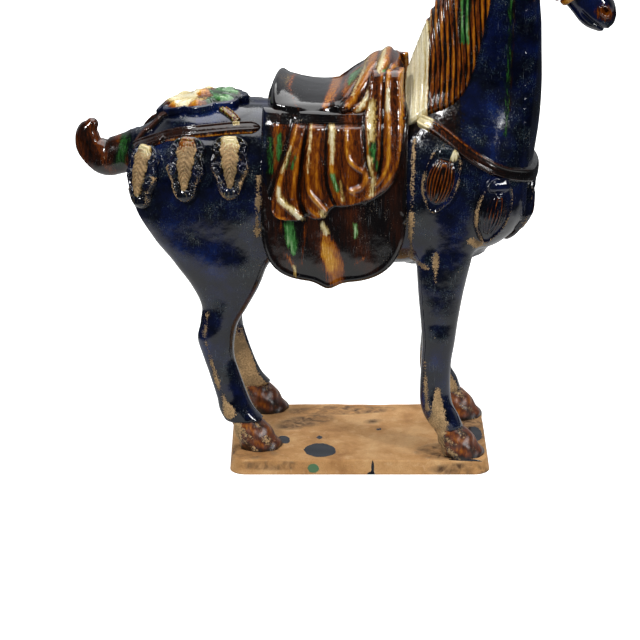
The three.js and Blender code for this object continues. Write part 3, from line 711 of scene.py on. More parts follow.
def strokes_reach(x, z, strokes):
    """How far inside a set of brush strokes a point of the side view lies. A stroke is a line from
    one end to the other whose half width changes evenly: [x0, z0, x1, z1, half width at each end]."""
    reach = np.full(np.shape(x), -99.0)
    for x0, z0, x1, z1, wide0, wide1 in strokes:
        f = np.clip(((x - x0) * (x1 - x0) + (z - z0) * (z1 - z0)) / ((x1 - x0) ** 2 + (z1 - z0) ** 2), 0, 1)
        away = np.hypot(x - x0 - f * (x1 - x0), z - z0 - f * (z1 - z0))
        reach = np.maximum(reach, wide0 + f * (wide1 - wide0) - away)
    return reach


# Places worn to the clay on the side that shows, and plainer ones on the far side.
WORN_NEAR = [
    [-243, 330, -246, 285, 2, 1],
    [62, 372, 61, 300, 1.2, 1],
    [60, 300, 60, 236, 1.4, 3.4],
    [60, 236, 78, 230, 3.4, 1.5],
    [88, 247, 87, 216, 3.5, 0.6],
    [-102, 330, -104, 262, 1, 1.6],
    [76, 124, 80, 70, 0.4, 2],
    [91, 96, 93, 56, 0.6, 11],
    [93, 56, 88, 44, 10, 6],
    [-160, 170, -163, 147, 2.6, 3],
    [-162, 140, -148, 84, 0.8, 2.4],
    [-143, 78, -137, 58, 2, 8],
    [124, 262, 138, 250, 5, 3],
]
WORN_FAR = [
    [-240, 320, -244, 290, 3, 2],
    [60, 340, 60, 240, 2, 3],
    [95, 66, 92, 50, 4, 6],
    [-160, 140, -148, 70, 2, 4],
]
# Runs of green and amber down the neck, and green on the tail.
GREEN_RUNS = [[-254, 350, -262, 322, 6, 6], [158, 376, 161, 560, 1.3, 2.2]]
AMBER_RUN = [[161, 400, 163, 540, 0.6, 1]]
BODY_NET = {"low": (-316, -96, 36), "high": (222, 96, 622), "step": 2.45}


def body_marks(points):
    """Amber over the tail's end, green beside it, brown by the mane's foot, and the clay where the
    coat is worn and between the legs."""
    x, y, z = points.T
    between = np.minimum(50 - np.abs(y), (112 - z) / 3)
    worn = np.where(y < 0, strokes_reach(x, z, WORN_NEAR), strokes_reach(x, z, WORN_FAR))
    tail_pool = 0.4 + 0.25 * np.sin(x / 4 + z / 9)
    return {
        "amber": np.maximum(-250 - x, strokes_reach(x, z, AMBER_RUN)),
        "green": strokes_reach(x, z, GREEN_RUNS),
        "dark": np.minimum.reduce([z - 372, 470 - z, 112 - x, x - 40]) / 3,
        "clay": np.maximum(worn, between),
        "pool": np.where(x < -246, tail_pool, np.where(x > 140, 0.3, 0.0)),
    }


glaze = lead_glaze("lead_glaze")


def glazed(name, points, marks, faces=None, coat=glaze):
    """A piece under glaze, set down. A mark that isn't given lies far outside its colour. Without
    faces, the points are a grid closed round its columns."""
    if faces is None:
        faces = quads(*points.shape[:2], round_columns=True)
    unmarked = {mark: -99.0 for mark in ("amber", "green", "cream_and_highlight", "dark", "clay")}
    return piece(name, set_down(points), faces, coat, {**unmarked, "pool": 0.0, **marks})


def behind_cut(x, y, z):
    """The figure as far as the cut behind the head."""
    return np.maximum(figure_gap(x, y, z), crown_gap(x, z))


body_points, body_faces = net_over(behind_cut, **BODY_NET)
body_points = settled(body_points, body_faces, figure_gap, 2, -1)
body = glazed("horse_body", body_points, body_marks(body_points), body_faces)
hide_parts("sancai_horse")


# Head: modelled on the neck by hand, with a square brow, deep cheeks, flared nostrils and pricked ears.
# It is plainer than the trappings, and its seam is hidden under the crownpiece of the bridle.
# Swellings of the head: [along, out, y, reach along, out and across, rise], alike on both sides.
FEATURES = [
    [22, -26, 26, 17, 16, 10, 2.6],
    [44, 20, 22, 12, 7, 9, 2.2],
    [44, 2, 27, 10, 6, 8, -2.4],
    [78, 4, 21, 22, 4.5, 8, 2.4],
    [84, -14, 17, 22, 6, 8, -2.2],
    [100, 19, 0, 30, 8, 8, 1.2],
    [128, -20, 0, 12, 6, 12, 2.0],
    [150, -12, 0, 6, 4, 12, 1.6],
]
EYE = {"along": 46, "out": 12, "y": 22.5, "round": 8.0, "lid": 2.2}
NOSTRIL = {"along": 139, "out": 6, "long": 6.5, "wide": 4.2, "lip": 1.7}
MOUTH = {"from": 120, "out": -11}
HEAD_NET = {"low": (130, -44, 470), "high": (282, 44, 640), "step": 1.35}


def face_gap(x, y, z):
    """The figure near the head, with its swellings, eyes between two lids, nostrils with raised
    rims round a pit, and the line of the mouth pressed in."""
    along, out = off_head(x, z)
    side = np.abs(y)
    gap = swollen(figure_gap(x, y, z), FEATURES, along, out, side)
    e, n, m = EYE, NOSTRIL, MOUTH
    from_eye = np.sqrt((along - e["along"]) ** 2 / 1.5 + (out - e["out"]) ** 2 + (side - e["y"]) ** 2)
    gap = melt(gap, from_eye - e["round"], 1.5)
    ring = np.sqrt((along - e["along"]) ** 2 / 2.2 + (out - e["out"]) ** 2)
    lid = np.hypot(ring - e["round"] * 0.72, side - e["y"] - 5.2) - e["lid"]
    gap = melt(gap, lid, 2)
    rim = np.hypot((along - n["along"]) / n["long"], (out - n["out"]) / n["wide"])
    pit = 4.5 * np.exp(-((rim / 0.62) ** 4)) * (side > 4) * (along > 100)
    lip = n["lip"] * np.exp(-(((rim - 1) / 0.3) ** 2)) * (side > 3) * (along > 100)
    inside = np.clip((along - m["from"]) / 8, 0, 1)
    crease = 2.6 * np.exp(-(((out - m["out"] + 2 * np.sin(along / 9)) / 1.6) ** 2)) * inside
    return gap + pit - lip + crease


def before_cut(x, y, z):
    """The figure from the cut behind the head forwards."""
    return np.maximum(face_gap(x, y, z), -crown_gap(x, z))


head_points, head_faces = net_over(before_cut, **HEAD_NET)
head_points = settled(head_points, head_faces, face_gap, 1, 1)
head_x, head_y, head_z = head_points.T
head_along, head_out = off_head(head_x, head_z)
by_eye = 7.5 - np.hypot((head_along - EYE["along"]) / 1.3, head_out - EYE["out"])
head_marks = {
    "amber": 8 - np.hypot((head_along - NOSTRIL["along"]) / 1.3, head_out - 4),
    "dark": np.where(np.abs(head_y) > 20, by_eye, -99),
}
glazed("head", head_points, head_marks, head_faces)

# Ears: [share of the height, x, y, z, half depth, half width].
EAR = [
    [0, 156, 15, 600, 7, 7],
    [0.35, 154, 16.5, 618, 9.5, 7.5],
    [0.7, 156, 17.5, 637, 7.5, 5.5],
    [1, 161, 17.5, 653, 0.6, 0.5],
]


def ends_closed(share, reach):
    """A factor that draws both ends of a shape in to a point, over a reach of its length."""
    return np.sqrt(np.clip(np.minimum(share, 1 - share) / reach, 0, 1))


def ear(side):
    """A pricked ear: crescents round a curve that rises from the poll, wide at a third of its height
    and closing to a tip. The hollow faces forwards: its side of each oval is pushed in by a half sine."""
    share, turn = np.linspace(0, 1, 60)[:, None], np.linspace(0, 2 * np.pi, 48, endpoint=False)
    x, y, z, deep, wide = through(EAR, share)
    front = np.clip(np.cos(turn), 0, 1)
    hollow = 0.85 * deep * front**1.4 * np.sin(np.pi * np.clip(share * 1.1, 0, 1)) ** 0.6
    close = ends_closed(share, 0.03)
    y = y + wide * np.sin(turn) * close + 0.075 * (z - 600)
    return stacked(x + (deep * np.cos(turn) - hollow) * close, side * y, z)


for side, name in ((-1, "near"), (1, "far")):
    glazed("ear_" + name, ear(side), {})


# Hooves: four separate lumps, pared to a slant and luted under the pasterns, in mottled amber glaze
# that handling has rubbed to a satin.
# Hoof: [height above the slab, half length, half width, lean forwards].
HOOF = [
    [-3, 24, 20.4, 16.5],
    [4, 24, 20.8, 15.5],
    [14, 22.8, 20, 10.5],
    [25, 21.4, 18, 6],
    [31, 19, 16, 3],
    [36, 13, 11, 1],
]


def hoof(rows, side, far_step):
    """Level ovals from sole to coronet, sloping down to the back, lumpy from the hand, with a
    shallow cleft at the heel. Both ends draw in to a point."""
    high = np.linspace(HOOF[0][0], HOOF[-1][0], 34)[:, None]
    turn = np.linspace(0, 2 * np.pi, 80, endpoint=False)
    back, front, middle = rows[0][1:4]
    long, wide, lean = through(HOOF, high)
    lumps = 0.8 * np.sin(3 * turn + high / 5) * np.sin(high / 7 + 1) + 0.6 * np.sin(7 * turn - high / 3)
    heel = 1.6 * np.exp(-(((np.cos(turn) + 1) / 0.12) ** 2)) * (high < 20)
    x = (back + front) / 2 + (far_step if side > 0 else 0) + lean + (long + lumps - heel) * np.cos(turn)
    y = side * middle + (wide + lumps) * np.sin(turn)
    z = SLAB["thick"] + high - 4 * np.cos(turn) * np.clip(high / 20, 0, 1)
    points = stacked(x, y, z)
    sole, coronet = (np.broadcast_to(points[k].mean(0), (1, *points[0].shape)) for k in (0, -1))
    return np.concatenate([sole, points, coronet])


rubbed_glaze = lead_glaze("rubbed_lead_glaze", (3.0, 8.0), 1.3, 0.36)
for rows, step, place in ((FORELEG, FAR_STEP["fore"], "fore"), (HINDLEG, FAR_STEP["hind"], "hind")):
    for side, name in ((-1, "near"), (1, "far")):
        hoof_points = hoof(rows, side, step)
        hoof_x, hoof_y, hoof_z = np.moveaxis(hoof_points, -1, 0)
        toe, up = hoof_x - hoof_x.mean(), hoof_z - SLAB["thick"]
        blotch = np.sin(toe / 4 + up / 3) * np.sin(up / 5 - hoof_y / 6)
        hoof_marks = {
            "amber": np.minimum(toe + 15, 33 - up),
            "dark": 1.4 * np.sin(toe / 3 - up / 4 + 1) * np.sin(up / 4 + hoof_y / 5) - 1.1,
            "clay": np.maximum(np.minimum(-12 - toe, 8), 2.4 * blotch - 2.1),
            "pool": 0.55 * np.exp(-(((up - 1) / 4) ** 2)) + 0.3 * blotch + 0.1,
        }
        glazed(f"hoof_{place}_{name}", hoof_points, hoof_marks, coat=rubbed_glaze)


# Saddle: a deep wooden seat as modelled in clay, high behind and in front, with a cloth drawn over it
# whose folds slant across the front arch. Its glaze is nearly black with splashes of amber and cream, and
# cream along the folds of the front arch as painted highlights.
# Seat: [x, top, underside, half width].
SEAT = [
    [-97, 408, 388, 30],
    [-91, 421, 376, 52],
    [-78, 418, 370, 64],
    [-55, 412, 368, 68],
    [-30, 414, 368, 67],
    [-8, 428, 368, 64],
    [12, 443, 372, 57],
    [27, 450, 380, 51],
    [38, 446, 392, 44],
    [45, 434, 404, 32],
]
# Folds across the front arch: points of the side view, then half width and rise.
SEAT_FOLDS = [
    ([[28, 447], [20, 425], [12, 410], [2, 402]], 5.5, 3.6),
    ([[14, 446], [4, 426], [-4, 412], [-12, 404]], 5, 3.0),
    ([[-2, 436], [-12, 420], [-22, 409]], 5, 2.0),
    ([[38, 440], [35, 420], [26, 404]], 5, 3.0),
]
# Brush strokes on the seat: splashes of amber, green and cream. The cream strokes along the folds of the
# front arch are painted highlights.
SEAT_STROKES_AND_HIGHLIGHTS = (
    [[-88, 428, -74, 416, 2, 2.4], [-74, 416, -60, 402, 1.6, 1], [-33, 405, -21, 426, 4.5, 7.5]],
    [[-10, 428, 2, 442, 4, 6], [24, 428, 30, 440, 2, 3]],
    [
        [24, 448, 12, 416, 3.2, 2.6], [12, 416, 2, 402, 2.6, 1.6], [-88, 430, -78, 420, 1.6, 1.4],
        [6, 440, -4, 418, 1, 0.8],
    ],
)


def curve_through(points, count=60):
    """Evenly numbered points on a smooth curve through a few given ones."""
    rows = np.column_stack([np.arange(len(points)), np.asarray(points, float)])
    return np.stack(through(rows, np.linspace(0, len(points) - 1, count)), -1)


def fold_rise(x, z, path, wide, high, power=0.7):
    """The rise of a fold of cloth: high times (1 - (away / wide)^2)^power, away being the distance
    to the nearest point of its path. Width and height change evenly from one end to the other."""
    line = curve_through(path)
    away = np.hypot(x[..., None] - line[:, 0], z[..., None] - line[:, 1])
    share = away.argmin(-1) / (len(line) - 1)
    wide = np.interp(share, [0, 1], np.broadcast_to(wide, 2))
    high = np.interp(share, [0, 1], np.broadcast_to(high, 2))
    return high * np.clip(1 - (away.min(-1) / wide) ** 2, 0, None) ** power


def seat_surface():
    """Squarish ovals along x whose ends draw in to a point, with a rolled edge low on each side, a
    back face pushed in behind the rear arch, and the folds raised on both flanks."""
    share, turn = np.linspace(0, 1, 150)[:, None], np.linspace(0, 2 * np.pi, 180, endpoint=False)
    x = SEAT[0][0] + (SEAT[-1][0] - SEAT[0][0]) * (0.5 - 0.5 * np.cos(np.pi * share))
    top, under, wide = through(SEAT, x)
    c, s = np.cos(turn), np.sin(turn)
    side = wide * np.sign(c) * np.abs(c) ** (2 / 2.6)
    up = (top - under) / 2 * np.sign(s) * np.abs(s) ** (2 / 2.6)
    middle = (top + under) / 2
    x, z = np.broadcast_arrays(x, middle + up)
    rise = np.maximum.reduce([fold_rise(x, z, *fold) for fold in SEAT_FOLDS])
    roll = 2.2 * np.exp(-(((z - 405) / 3.2) ** 2)) * np.clip(1 - np.abs(x + 30) / 62, 0, 1) ** 0.3
    dished = -2.0 * np.exp(-(((x + 42) / 26) ** 2)) * np.clip(s, 0, 1)
    piping = 2.4 * np.exp(-(((x + 88) / 4.0) ** 2)) * np.clip(s + 0.4, 0, 1)
    grow = (rise + roll) * np.clip(np.abs(c) * 1.6, 0, 1) + dished + piping
    close = ends_closed(share, 0.02)
    return stacked(x, (side + grow * c) * close, middle + (up + grow * s) * close), rise


def either_side(x, y, near, far):
    """Values of the near side that pass into those of the far side along a wavy line over the top."""
    share = smooth_step((y + 3 * np.sin(x / 5)) / 16 + 0.5)
    return near + (far - near) * share


seat_points, seat_rise = seat_surface()
seat_x, seat_y, seat_z = np.moveaxis(seat_points, -1, 0)
front_arch = either_side(seat_x, seat_y, seat_x + 12 + (seat_z - 410) * 0.55, seat_x - 2)
splash, green, cream_and_highlight = (strokes_reach(seat_x, seat_z, strokes) for strokes in SEAT_STROKES_AND_HIGHLIGHTS)
seat_marks = {
    "dark": 99.0,
    "amber": np.maximum(front_arch, splash),
    "green": either_side(seat_x, seat_y, green, -30),
    # Cream along the folds of the front arch is painted highlight.
    "cream_and_highlight": cream_and_highlight,
    "pool": 0.35 - 0.8 * np.clip(seat_rise / 3, 0, 1) - 0.7 * np.clip(splash / 3, 0, 1),
}
glazed("saddle_seat", seat_points, seat_marks)


# Saddle cloth: a thick flap of clay on each side, with a cover gathered over it in broad pleats that
# hang from the front arch and turn up at their feet. Amber glaze, cream and green where it ran off the
# ridges, black in the hollows, and thin cream lines along the crests of the folds as painted highlights.
CLOTH = {"back": -100, "front": 56, "hem": 213.5, "side": 300, "top": 402, "thick": 10, "rim": 5}
# The small tip of its hem: how low, where, how wide.
TIP = {"low": 8, "at": -28, "wide": 12}
# Where the cover climbs over the front arch: from which x, over how far, how high, how much narrower.
CLIMB = {"from": 9, "over": 7, "high": 40, "narrow": 7}
# Outer face: [z, distance from the middle plane].
CLOTH_FACE = [
    [205, 76], [240, 80.5], [280, 82.5], [320, 82], [355, 78], [385, 70], [402, 60], [420, 54], [434, 47],
    [444, 38],
]
# Lower edge of the gathered cover: [x, z].
COVER_HEM = [
    [-101, 334], [-94, 322], [-90, 306], [-87, 294], [-80, 287], [-68, 285], [-57, 286], [-51, 291],
    [-45, 289], [-38, 288], [-31, 291], [-26, 298], [-20, 302], [-13, 302], [2, 305], [16, 309],
    [28, 316], [37, 324], [44, 336], [48, 354], [51, 380], [54, 402], [58, 444],
]
# Pleats: points of the side view, then half width and rise at the top and at the foot.
PLEATS = [
    ([[-57, 389], [-63, 355], [-69, 328], [-73, 308], [-70, 294]], (5, 17), (4, 7)),
    ([[-41, 389], [-43, 355], [-44, 326], [-42, 306], [-38, 295]], (9.5, 12), (4, 6.5)),
    ([[-10, 389], [-8, 360], [-4, 336], [0, 320], [-6, 309]], (19, 17), (4, 5)),
    ([[18, 440], [18, 412], [19, 385], [20, 355], [20, 334]], (9, 5.5), (4, 5)),
    ([[37, 442], [38, 420], [41, 385], [40, 358], [32, 336], [16, 318]], (11, 8), (6, 5)),
]
# Sharp folds along the pleats, in the same form.
FOLDS = [
    ([[-80, 396], [-81, 372], [-82, 350]], (1.8, 1.4), (2, 1)),
    (
        [[-60, 389], [-68, 362], [-76, 335], [-80, 315], [-75, 305], [-64, 297], [-54, 288]],
        (2.8, 4.5), (3, 4),
    ),
    ([[-52, 387], [-58, 360], [-62, 336], [-65, 312]], (2.4, 3), (2.6, 2.2)),
    ([[-87, 306], [-88, 296], [-80, 289], [-70, 288]], (3.5, 3.5), (2.4, 2.4)),
    ([[-45, 389], [-48, 358], [-49, 332], [-46, 318], [-36, 306], [-29, 299]], (2.4, 4), (3, 4)),
    ([[-36, 387], [-38, 356], [-38, 330], [-33, 312]], (2.6, 3), (2, 2)),
    ([[-51, 308], [-44, 298], [-35, 292]], (3.5, 3.5), (2, 2.4)),
    ([[-24, 389], [-24, 360], [-23, 340], [-18, 324], [-12, 308]], (3.5, 3), (3, 3)),
    ([[-15, 389], [-16, 362], [-12, 338], [-5, 322], [3, 317]], (2, 2.4), (1.6, 2)),
    (
        [[-9, 390], [-8, 368], [-5, 354], [3, 346], [11, 341], [13, 333], [8, 325], [-1, 321]],
        (2.8, 4), (3, 4),
    ),
    ([[4, 390], [6, 366], [8, 352]], (2.6, 2), (1.6, 1)),
    ([[11, 440], [12, 404], [13, 380], [15, 355], [20, 332]], (2, 2), (2, 2)),
    ([[26, 442], [26, 410], [26, 375], [26, 352], [23, 336]], (2.2, 2.2), (2.4, 2.4)),
    ([[34, 444], [33, 418], [36, 392], [37, 368], [36, 350], [30, 336], [24, 328]], (3.2, 2.6), (3.6, 3)),
    ([[46, 440], [48, 405], [49, 380], [47, 356], [39, 337], [24, 319], [6, 311]], (4.2, 3), (3.6, 2.2)),
]
# Hollows pressed between the pleats, in the same form.
HOLLOWS = [
    ([[-51, 388], [-54, 362], [-57, 334], [-58, 312], [-54, 298], [-47, 290]], (2, 3.2), (2.5, 4)),
    ([[-29.5, 390], [-30, 358], [-29, 334], [-26, 318], [-20, 305]], (1.8, 2.6), (2.5, 3.5)),
    ([[9, 404], [10, 376], [13, 352], [18, 336]], (1.8, 2.4), (2.5, 4)),
    ([[29.5, 442], [29, 408], [29, 378], [29, 354], [26, 338]], (1.8, 2.2), (3, 3)),
    ([[-66, 392], [-74, 360], [-83, 332], [-90, 312]], (2.4, 3.5), (2, 2.5)),
]
# Girth strap showing at the head of the pleats: its top, its foot, and how far it runs.
GIRTH = {"top": 403, "foot": 389, "back": -62, "front": 10, "rise": 3.2}


def cloth_top(x):
    """Height of the flap's upper edge: level behind, and over the arch in front."""
    return CLOTH["top"] + CLIMB["high"] * smooth_step((x - CLIMB["from"]) / CLIMB["over"])


def cloth_column(share, z):
    """Where a column of the flap stands at a height, closer together towards its edges, and its
    share across. The front edge draws in where the cover climbs."""
    across = np.sin(share * np.pi / 2) * 0.4 + share * 0.6
    front = CLOTH["front"] - CLIMB["narrow"] * smooth_step((z - 396) / 26)
    return CLOTH["back"] + (front - CLOTH["back"]) * (across + 1) / 2, across


def cloth_hem(share):
    """Height of the hem: side less the drop times (1 - |across|^n)^(1/n), less a bell-shaped tip."""
    x, across = cloth_column(share, CLOTH["hem"])
    square = np.where(across < 0, 3.6, 2.7)
    drop = np.clip(1 - np.abs(across) ** square, 0, None) ** (1 / square)
    tip = TIP["low"] * np.exp(-(((x - TIP["at"]) / TIP["wide"]) ** 2))
    return CLOTH["side"] - (CLOTH["side"] - CLOTH["hem"]) * drop - tip


def cloth_outline():
    """Points round the flap's back edge, hem with its small tip, front edge and upper edge."""
    share = np.linspace(-1, 1, 261)
    hem_x, _ = cloth_column(share, CLOTH["hem"])
    back = np.linspace(CLOTH["side"], cloth_top(-99), 60)
    front = np.linspace(CLOTH["side"], cloth_top(99), 80)
    top_x, _ = cloth_column(share, 444)
    return np.concatenate([
        np.column_stack([np.full(60, CLOTH["back"]), back]),
        np.column_stack([hem_x, cloth_hem(share)]),
        np.column_stack([cloth_column(np.ones(80), front)[0], front]),
        np.column_stack([top_x, cloth_top(top_x)]),
    ])


def heaped(x, z, folds, reach, power):
    """The greatest rise of a set of folds, rounded into each other where they meet."""
    total = np.zeros(x.shape)
    for path, wide, high in folds:
        total = -melt(-total, -fold_rise(x, z, path, wide, high, power), reach)
    return total


def cover_rise(x, z):
    """Rise of the cover over the flap: its own thickness above its hem with a rolled edge, the
    pleats with the sharp folds on them, less the hollows between, and the girth strap across."""
    hem = through(COVER_HEM, x)[0]
    over = smooth_step((z - hem) / 2.2)
    layer = 3 * over + 1.3 * np.exp(-(((z - hem - 2.4) / 1.5) ** 2)) * (x > -96)
    sharp = heaped(x, z, FOLDS, 1.0, 0.9)
    folds = (heaped(x, z, PLEATS, 1.5, 0.42) + sharp) * over
    pressed = np.maximum.reduce([fold_rise(x, z, *hollow, 1.0) for hollow in HOLLOWS]) * over
    folds = folds - pressed
    g = GIRTH
    along = smooth_step(np.minimum(x - g["back"], g["front"] - x) / 3)
    strap = g["rise"] * np.clip(np.minimum(z - g["foot"], g["top"] - z) / 2, 0, 1) ** 0.5 * along
    crease = 2.6 * np.exp(-(((z - g["foot"] + 1.5) / 1.8) ** 2)) * along
    under = np.clip((z - g["foot"] + 3) / 3, 0, 1) * along
    rise = np.maximum(layer + folds * (1 - 0.85 * under), layer + strap) - crease
    return rise, sharp * over * (1 - under), pressed


def cloth_side(side, relief, columns, rows):
    """The outer and inner faces of a flap on one grid of columns and heights. Each falls away to
    the middle of the thickness in a quarter round along the outline, so the two meet there."""
    share, down = np.linspace(-1, 1, columns)[:, None], np.linspace(0, 1, rows)[None, :]
    hem = cloth_hem(share)
    spaced = down * 0.9 + 0.1 * np.sin(down * np.pi / 2)
    z = CLOTH["top"] - (CLOTH["top"] - hem) * spaced
    for _ in range(3):
        x, across = cloth_column(share, z)
        top = cloth_top(x)
        z = top - (top - hem) * spaced
    outline = cloth_outline()
    edge = np.hypot(x[..., None] - outline[:, 0], z[..., None] - outline[:, 1]).min(-1)
    edge[[0, -1]] = 0
    edge[:, [0, -1]] = 0
    thick, rim = CLOTH["thick"], CLOTH["rim"]
    near_edge = 1 - np.clip(edge / rim, 0, 1)
    fall = rim * (1 - np.sqrt(1 - near_edge**2))
    face = through(CLOTH_FACE, z)[0] - 3.5 * np.abs(across) ** 6
    rise, sharp, pressed = cover_rise(x, z)
    waves = 0.5 * np.sin(x / 9 + z / 23) * np.sin(z / 15 + 1) * (1 - near_edge)
    bead = 0.9 * np.exp(-(((edge - 5) / 2.2) ** 2)) * (z < 300)
    taper = np.clip(edge / 3, 0, 1) ** 0.5
    outer = face - fall + (rise * relief + waves + bead) * taper
    inner = face - thick + (thick - rim) * near_edge**2
    return np.stack([stacked(x, side * y, z) for y in (outer, inner)]), sharp, pressed


# Brush strokes of each colour on the side that shows, and on the far side. The thin cream strokes along the
# crests of the folds are painted highlights; the broader cream strokes are glaze.
CLOTH_COLOURS_AND_HIGHLIGHTS = {
    -1: {
        "amber": [
            [-72, 246, -66, 236, 1.2, 2.6], [-66, 236, -62, 222, 2.4, 2], [-31, 276, -27, 258, 3, 7],
            [-27, 258, -21, 236, 8, 12], [-21, 236, -19, 220, 12, 11], [-78, 284, -79, 268, 1, 1],
            [-52, 282, -55, 236, 1.5, 2], [10, 244, 0, 236, 1.5, 1],
        ],
        "green": [
            [-69, 281, -67, 262, 5.5, 6.5], [-67, 262, -64, 248, 6.5, 3], [-79, 376, -80, 352, 3, 2.6],
            [-89, 372, -88, 338, 2.4, 3], [-67, 360, -72, 344, 1, 1], [-22, 336, -17, 322, 2.6, 3],
            [20, 372, 20, 354, 3.6, 3.4], [17, 392, 18, 380, 2.4, 2.4], [24, 352, 24, 344, 2, 2],
            [-66, 343, -62, 355, 1, 1], [2, 282, 2, 268, 2, 1],
        ],
        "cream_and_highlight": [
            [-33, 281, -29, 272, 3, 3], [-64, 232, -62, 220, 1.6, 0.8], [-79, 322, -78, 310, 1.6, 3],
            [-77, 309, -66, 300, 3, 3.4], [-66, 300, -54, 287, 3.4, 2.6],
            [-67, 366, -76, 338, 0.9, 1.2], [-32, 297, -31, 292, 3, 2.5], [-24, 386, -23, 370, 3.4, 3],
            [-23, 370, -23, 350, 2, 1.2], [17, 410, 18, 376, 4.5, 4.2], [16, 356, 19, 338, 2.6, 2.2],
            [34, 424, 34, 404, 2, 1.6], [21, 336, 20, 318, 2, 2], [-46, 387, -48, 340, 0.9, 0.6],
            [-14, 330, -11, 312, 0.8, 0.8],
        ],
    },
    1: {
        "amber": [[-48, 276, -46, 236, 4, 9], [12, 282, 16, 250, 3, 7], [-76, 280, -70, 250, 3, 4]],
        "green": [
            [-24, 284, -22, 250, 5, 6], [20, 366, 20, 340, 3.6, 3], [-81, 388, -82, 350, 2.4, 3],
            [-46, 350, -46, 322, 3, 2],
        ],
        "cream_and_highlight": [
            [-24, 292, -24, 282, 3, 3], [17, 406, 19, 372, 4, 4], [-22, 385, -22, 352, 3, 3],
            [-80, 322, -79, 306, 2, 3],
        ],
    },
}
for side, name, relief, net in ((-1, "near", 0.8, (164, 196)), (1, "far", 0.5, (110, 130))):
    cloth_points, cloth_sharp, cloth_pressed = cloth_side(side, relief, *net)
    x, _, z = np.moveaxis(cloth_points[0], -1, 0)
    # The thin cream strokes along the crests of the folds are painted highlights.
    colours = {mark: strokes_reach(x, z, strokes) for mark, strokes in CLOTH_COLOURS_AND_HIGHLIGHTS[side].items()}
    over = np.minimum(z - through(COVER_HEM, x)[0], 52 - x)
    girth_dark = np.where((z > GIRTH["foot"] - 1) & (x < 8), x + 20, 99)
    thin = 0.1 * np.clip(colours["amber"] / 4, 0, 1) + 0.4 * np.clip(colours["green"] / 4 + 0.5, 0, 1)
    colours["amber"] = np.maximum(colours["amber"], np.minimum.reduce([over, x + 88, girth_dark]))
    edge_line = np.minimum(np.abs(x - CLOTH["back"]), np.abs(x - CLOTH["front"]))
    tint = 0.3 * np.sin(x / 7 + 2 * np.sin(z / 40)) + 0.45 * np.clip(1 - np.abs(x + 20) / 60, 0, 1)
    hung = 0.3 - 0.75 * np.clip(cloth_sharp / 3, 0, 1) + 0.7 * np.clip(cloth_pressed / 2.5, 0, 1)
    hung = hung + 0.2 * np.sin(x / 3.1 + z / 60)
    hemmed = 0.55 * smooth_step((233 - z) / 13)
    colours["pool"] = np.where(over > 0, hung, 0.1 - tint - thin + hemmed)
    colours["dark"] = np.maximum(x + 93, 325 - z)
    colours["clay"] = np.where((z < 345) & (z > 228), 1.4 - edge_line, -99) - 1.6
    marks = {mark: np.stack([value, value]) for mark, value in colours.items()}
    outer = quads(*x.shape)
    cloth_faces = np.concatenate([outer, outer[:, ::-1] + x.size])
    glazed("saddle_cloth_" + name, cloth_points, marks, cloth_faces)


# Mane: a thick sheet of clay laid over the crest, combed into straight strands with a tool. Clear
# glaze left a cream band at its foot, and amber ran dark into the grooves of the rest.
# Hem of the mane: [x, z].
MANE_HEM = [
    [38, 392], [54, 384], [77, 396], [93, 402], [107, 412], [117, 428], [127, 458], [138, 510],
    [147, 565], [153, 604],
]
MANE = {"thick": 6, "sunk": 3, "spread": 46, "strand": 5.2, "groove": 2.1, "cream_and_highlight": (48, 76)}


def landed(start, way, gap=trunk_gap, rounds=16):
    """Where lines from points inside the body leave it, and the way its surface faces there: each
    step along a line is as long as the gap that is left."""
    way = way / np.linalg.norm(way, axis=-1, keepdims=True)
    start, way = np.broadcast_arrays(start, way)
    shape, start, way = start.shape, start.reshape(-1, 3), way.reshape(-1, 3)
    along = np.full(len(start), 30.0)
    for _ in range(rounds):
        along = along - gap(*(start + way * along[:, None]).T)
    points = start + way * along[:, None]
    slope = slope_of(gap, points)[1]
    facing = slope / np.linalg.norm(slope, axis=1, keepdims=True)
    return points.reshape(shape), facing.reshape(shape)


def mane_surface():
    """Sections across the crest at even steps of x. Each fans out from the hem's height on one
    side, over the crest, to the hem on the other, and returns inside. Strands are a rounded comb:
    thick less a narrow groove at each strand's width, the strands wandering a little."""
    columns = np.linspace(MANE_HEM[0][0], MANE_HEM[-1][0], 244)[:, None]
    fan = np.linspace(-1, 1, 86)
    hem = through(MANE_HEM, columns)[0]
    crest = landed(stacked(columns, 0, hem - 30), np.array([0.0, 0, 1]))[0][..., 2]
    lift = np.maximum(crest - hem, 6)
    turn = fan * np.pi / 2
    way = stacked(0, MANE["spread"] * np.sin(turn), lift * np.cos(turn) + 1e-3)
    skin, facing = landed(stacked(columns, 0, hem), way)
    x, _, z = np.moveaxis(skin, -1, 0)
    comb = (x + 1.2 * np.sin(z / 19) + 0.5 * np.sin(z / 7 + x)) / MANE["strand"]
    groove = np.abs(np.cos(np.pi * comb)) ** 6
    foot, end = MANE["cream_and_highlight"]
    soft = np.clip((x - foot) / 3, 0, 1) * np.clip((end - x) / 3, 0, 1)
    fine = 0.25 * np.cos(4 * np.pi * comb)
    edge = ends_closed((1 + fan) / 2, 0.015)
    edge = edge * np.clip(np.minimum(columns - columns[0], columns[-1] - columns) / 2.5, 0, 1) ** 0.5
    thick = (MANE["thick"] + fine - groove * MANE["groove"] * (1 - 0.8 * soft)) * edge
    outer = skin + facing * thick[..., None]
    inner = skin - facing * (MANE["sunk"] * edge)[..., None]
    groove = groove * (1 - 0.7 * soft)
    return np.concatenate([outer, inner[:, ::-1]], 1), np.concatenate([groove, groove[:, ::-1]], 1)


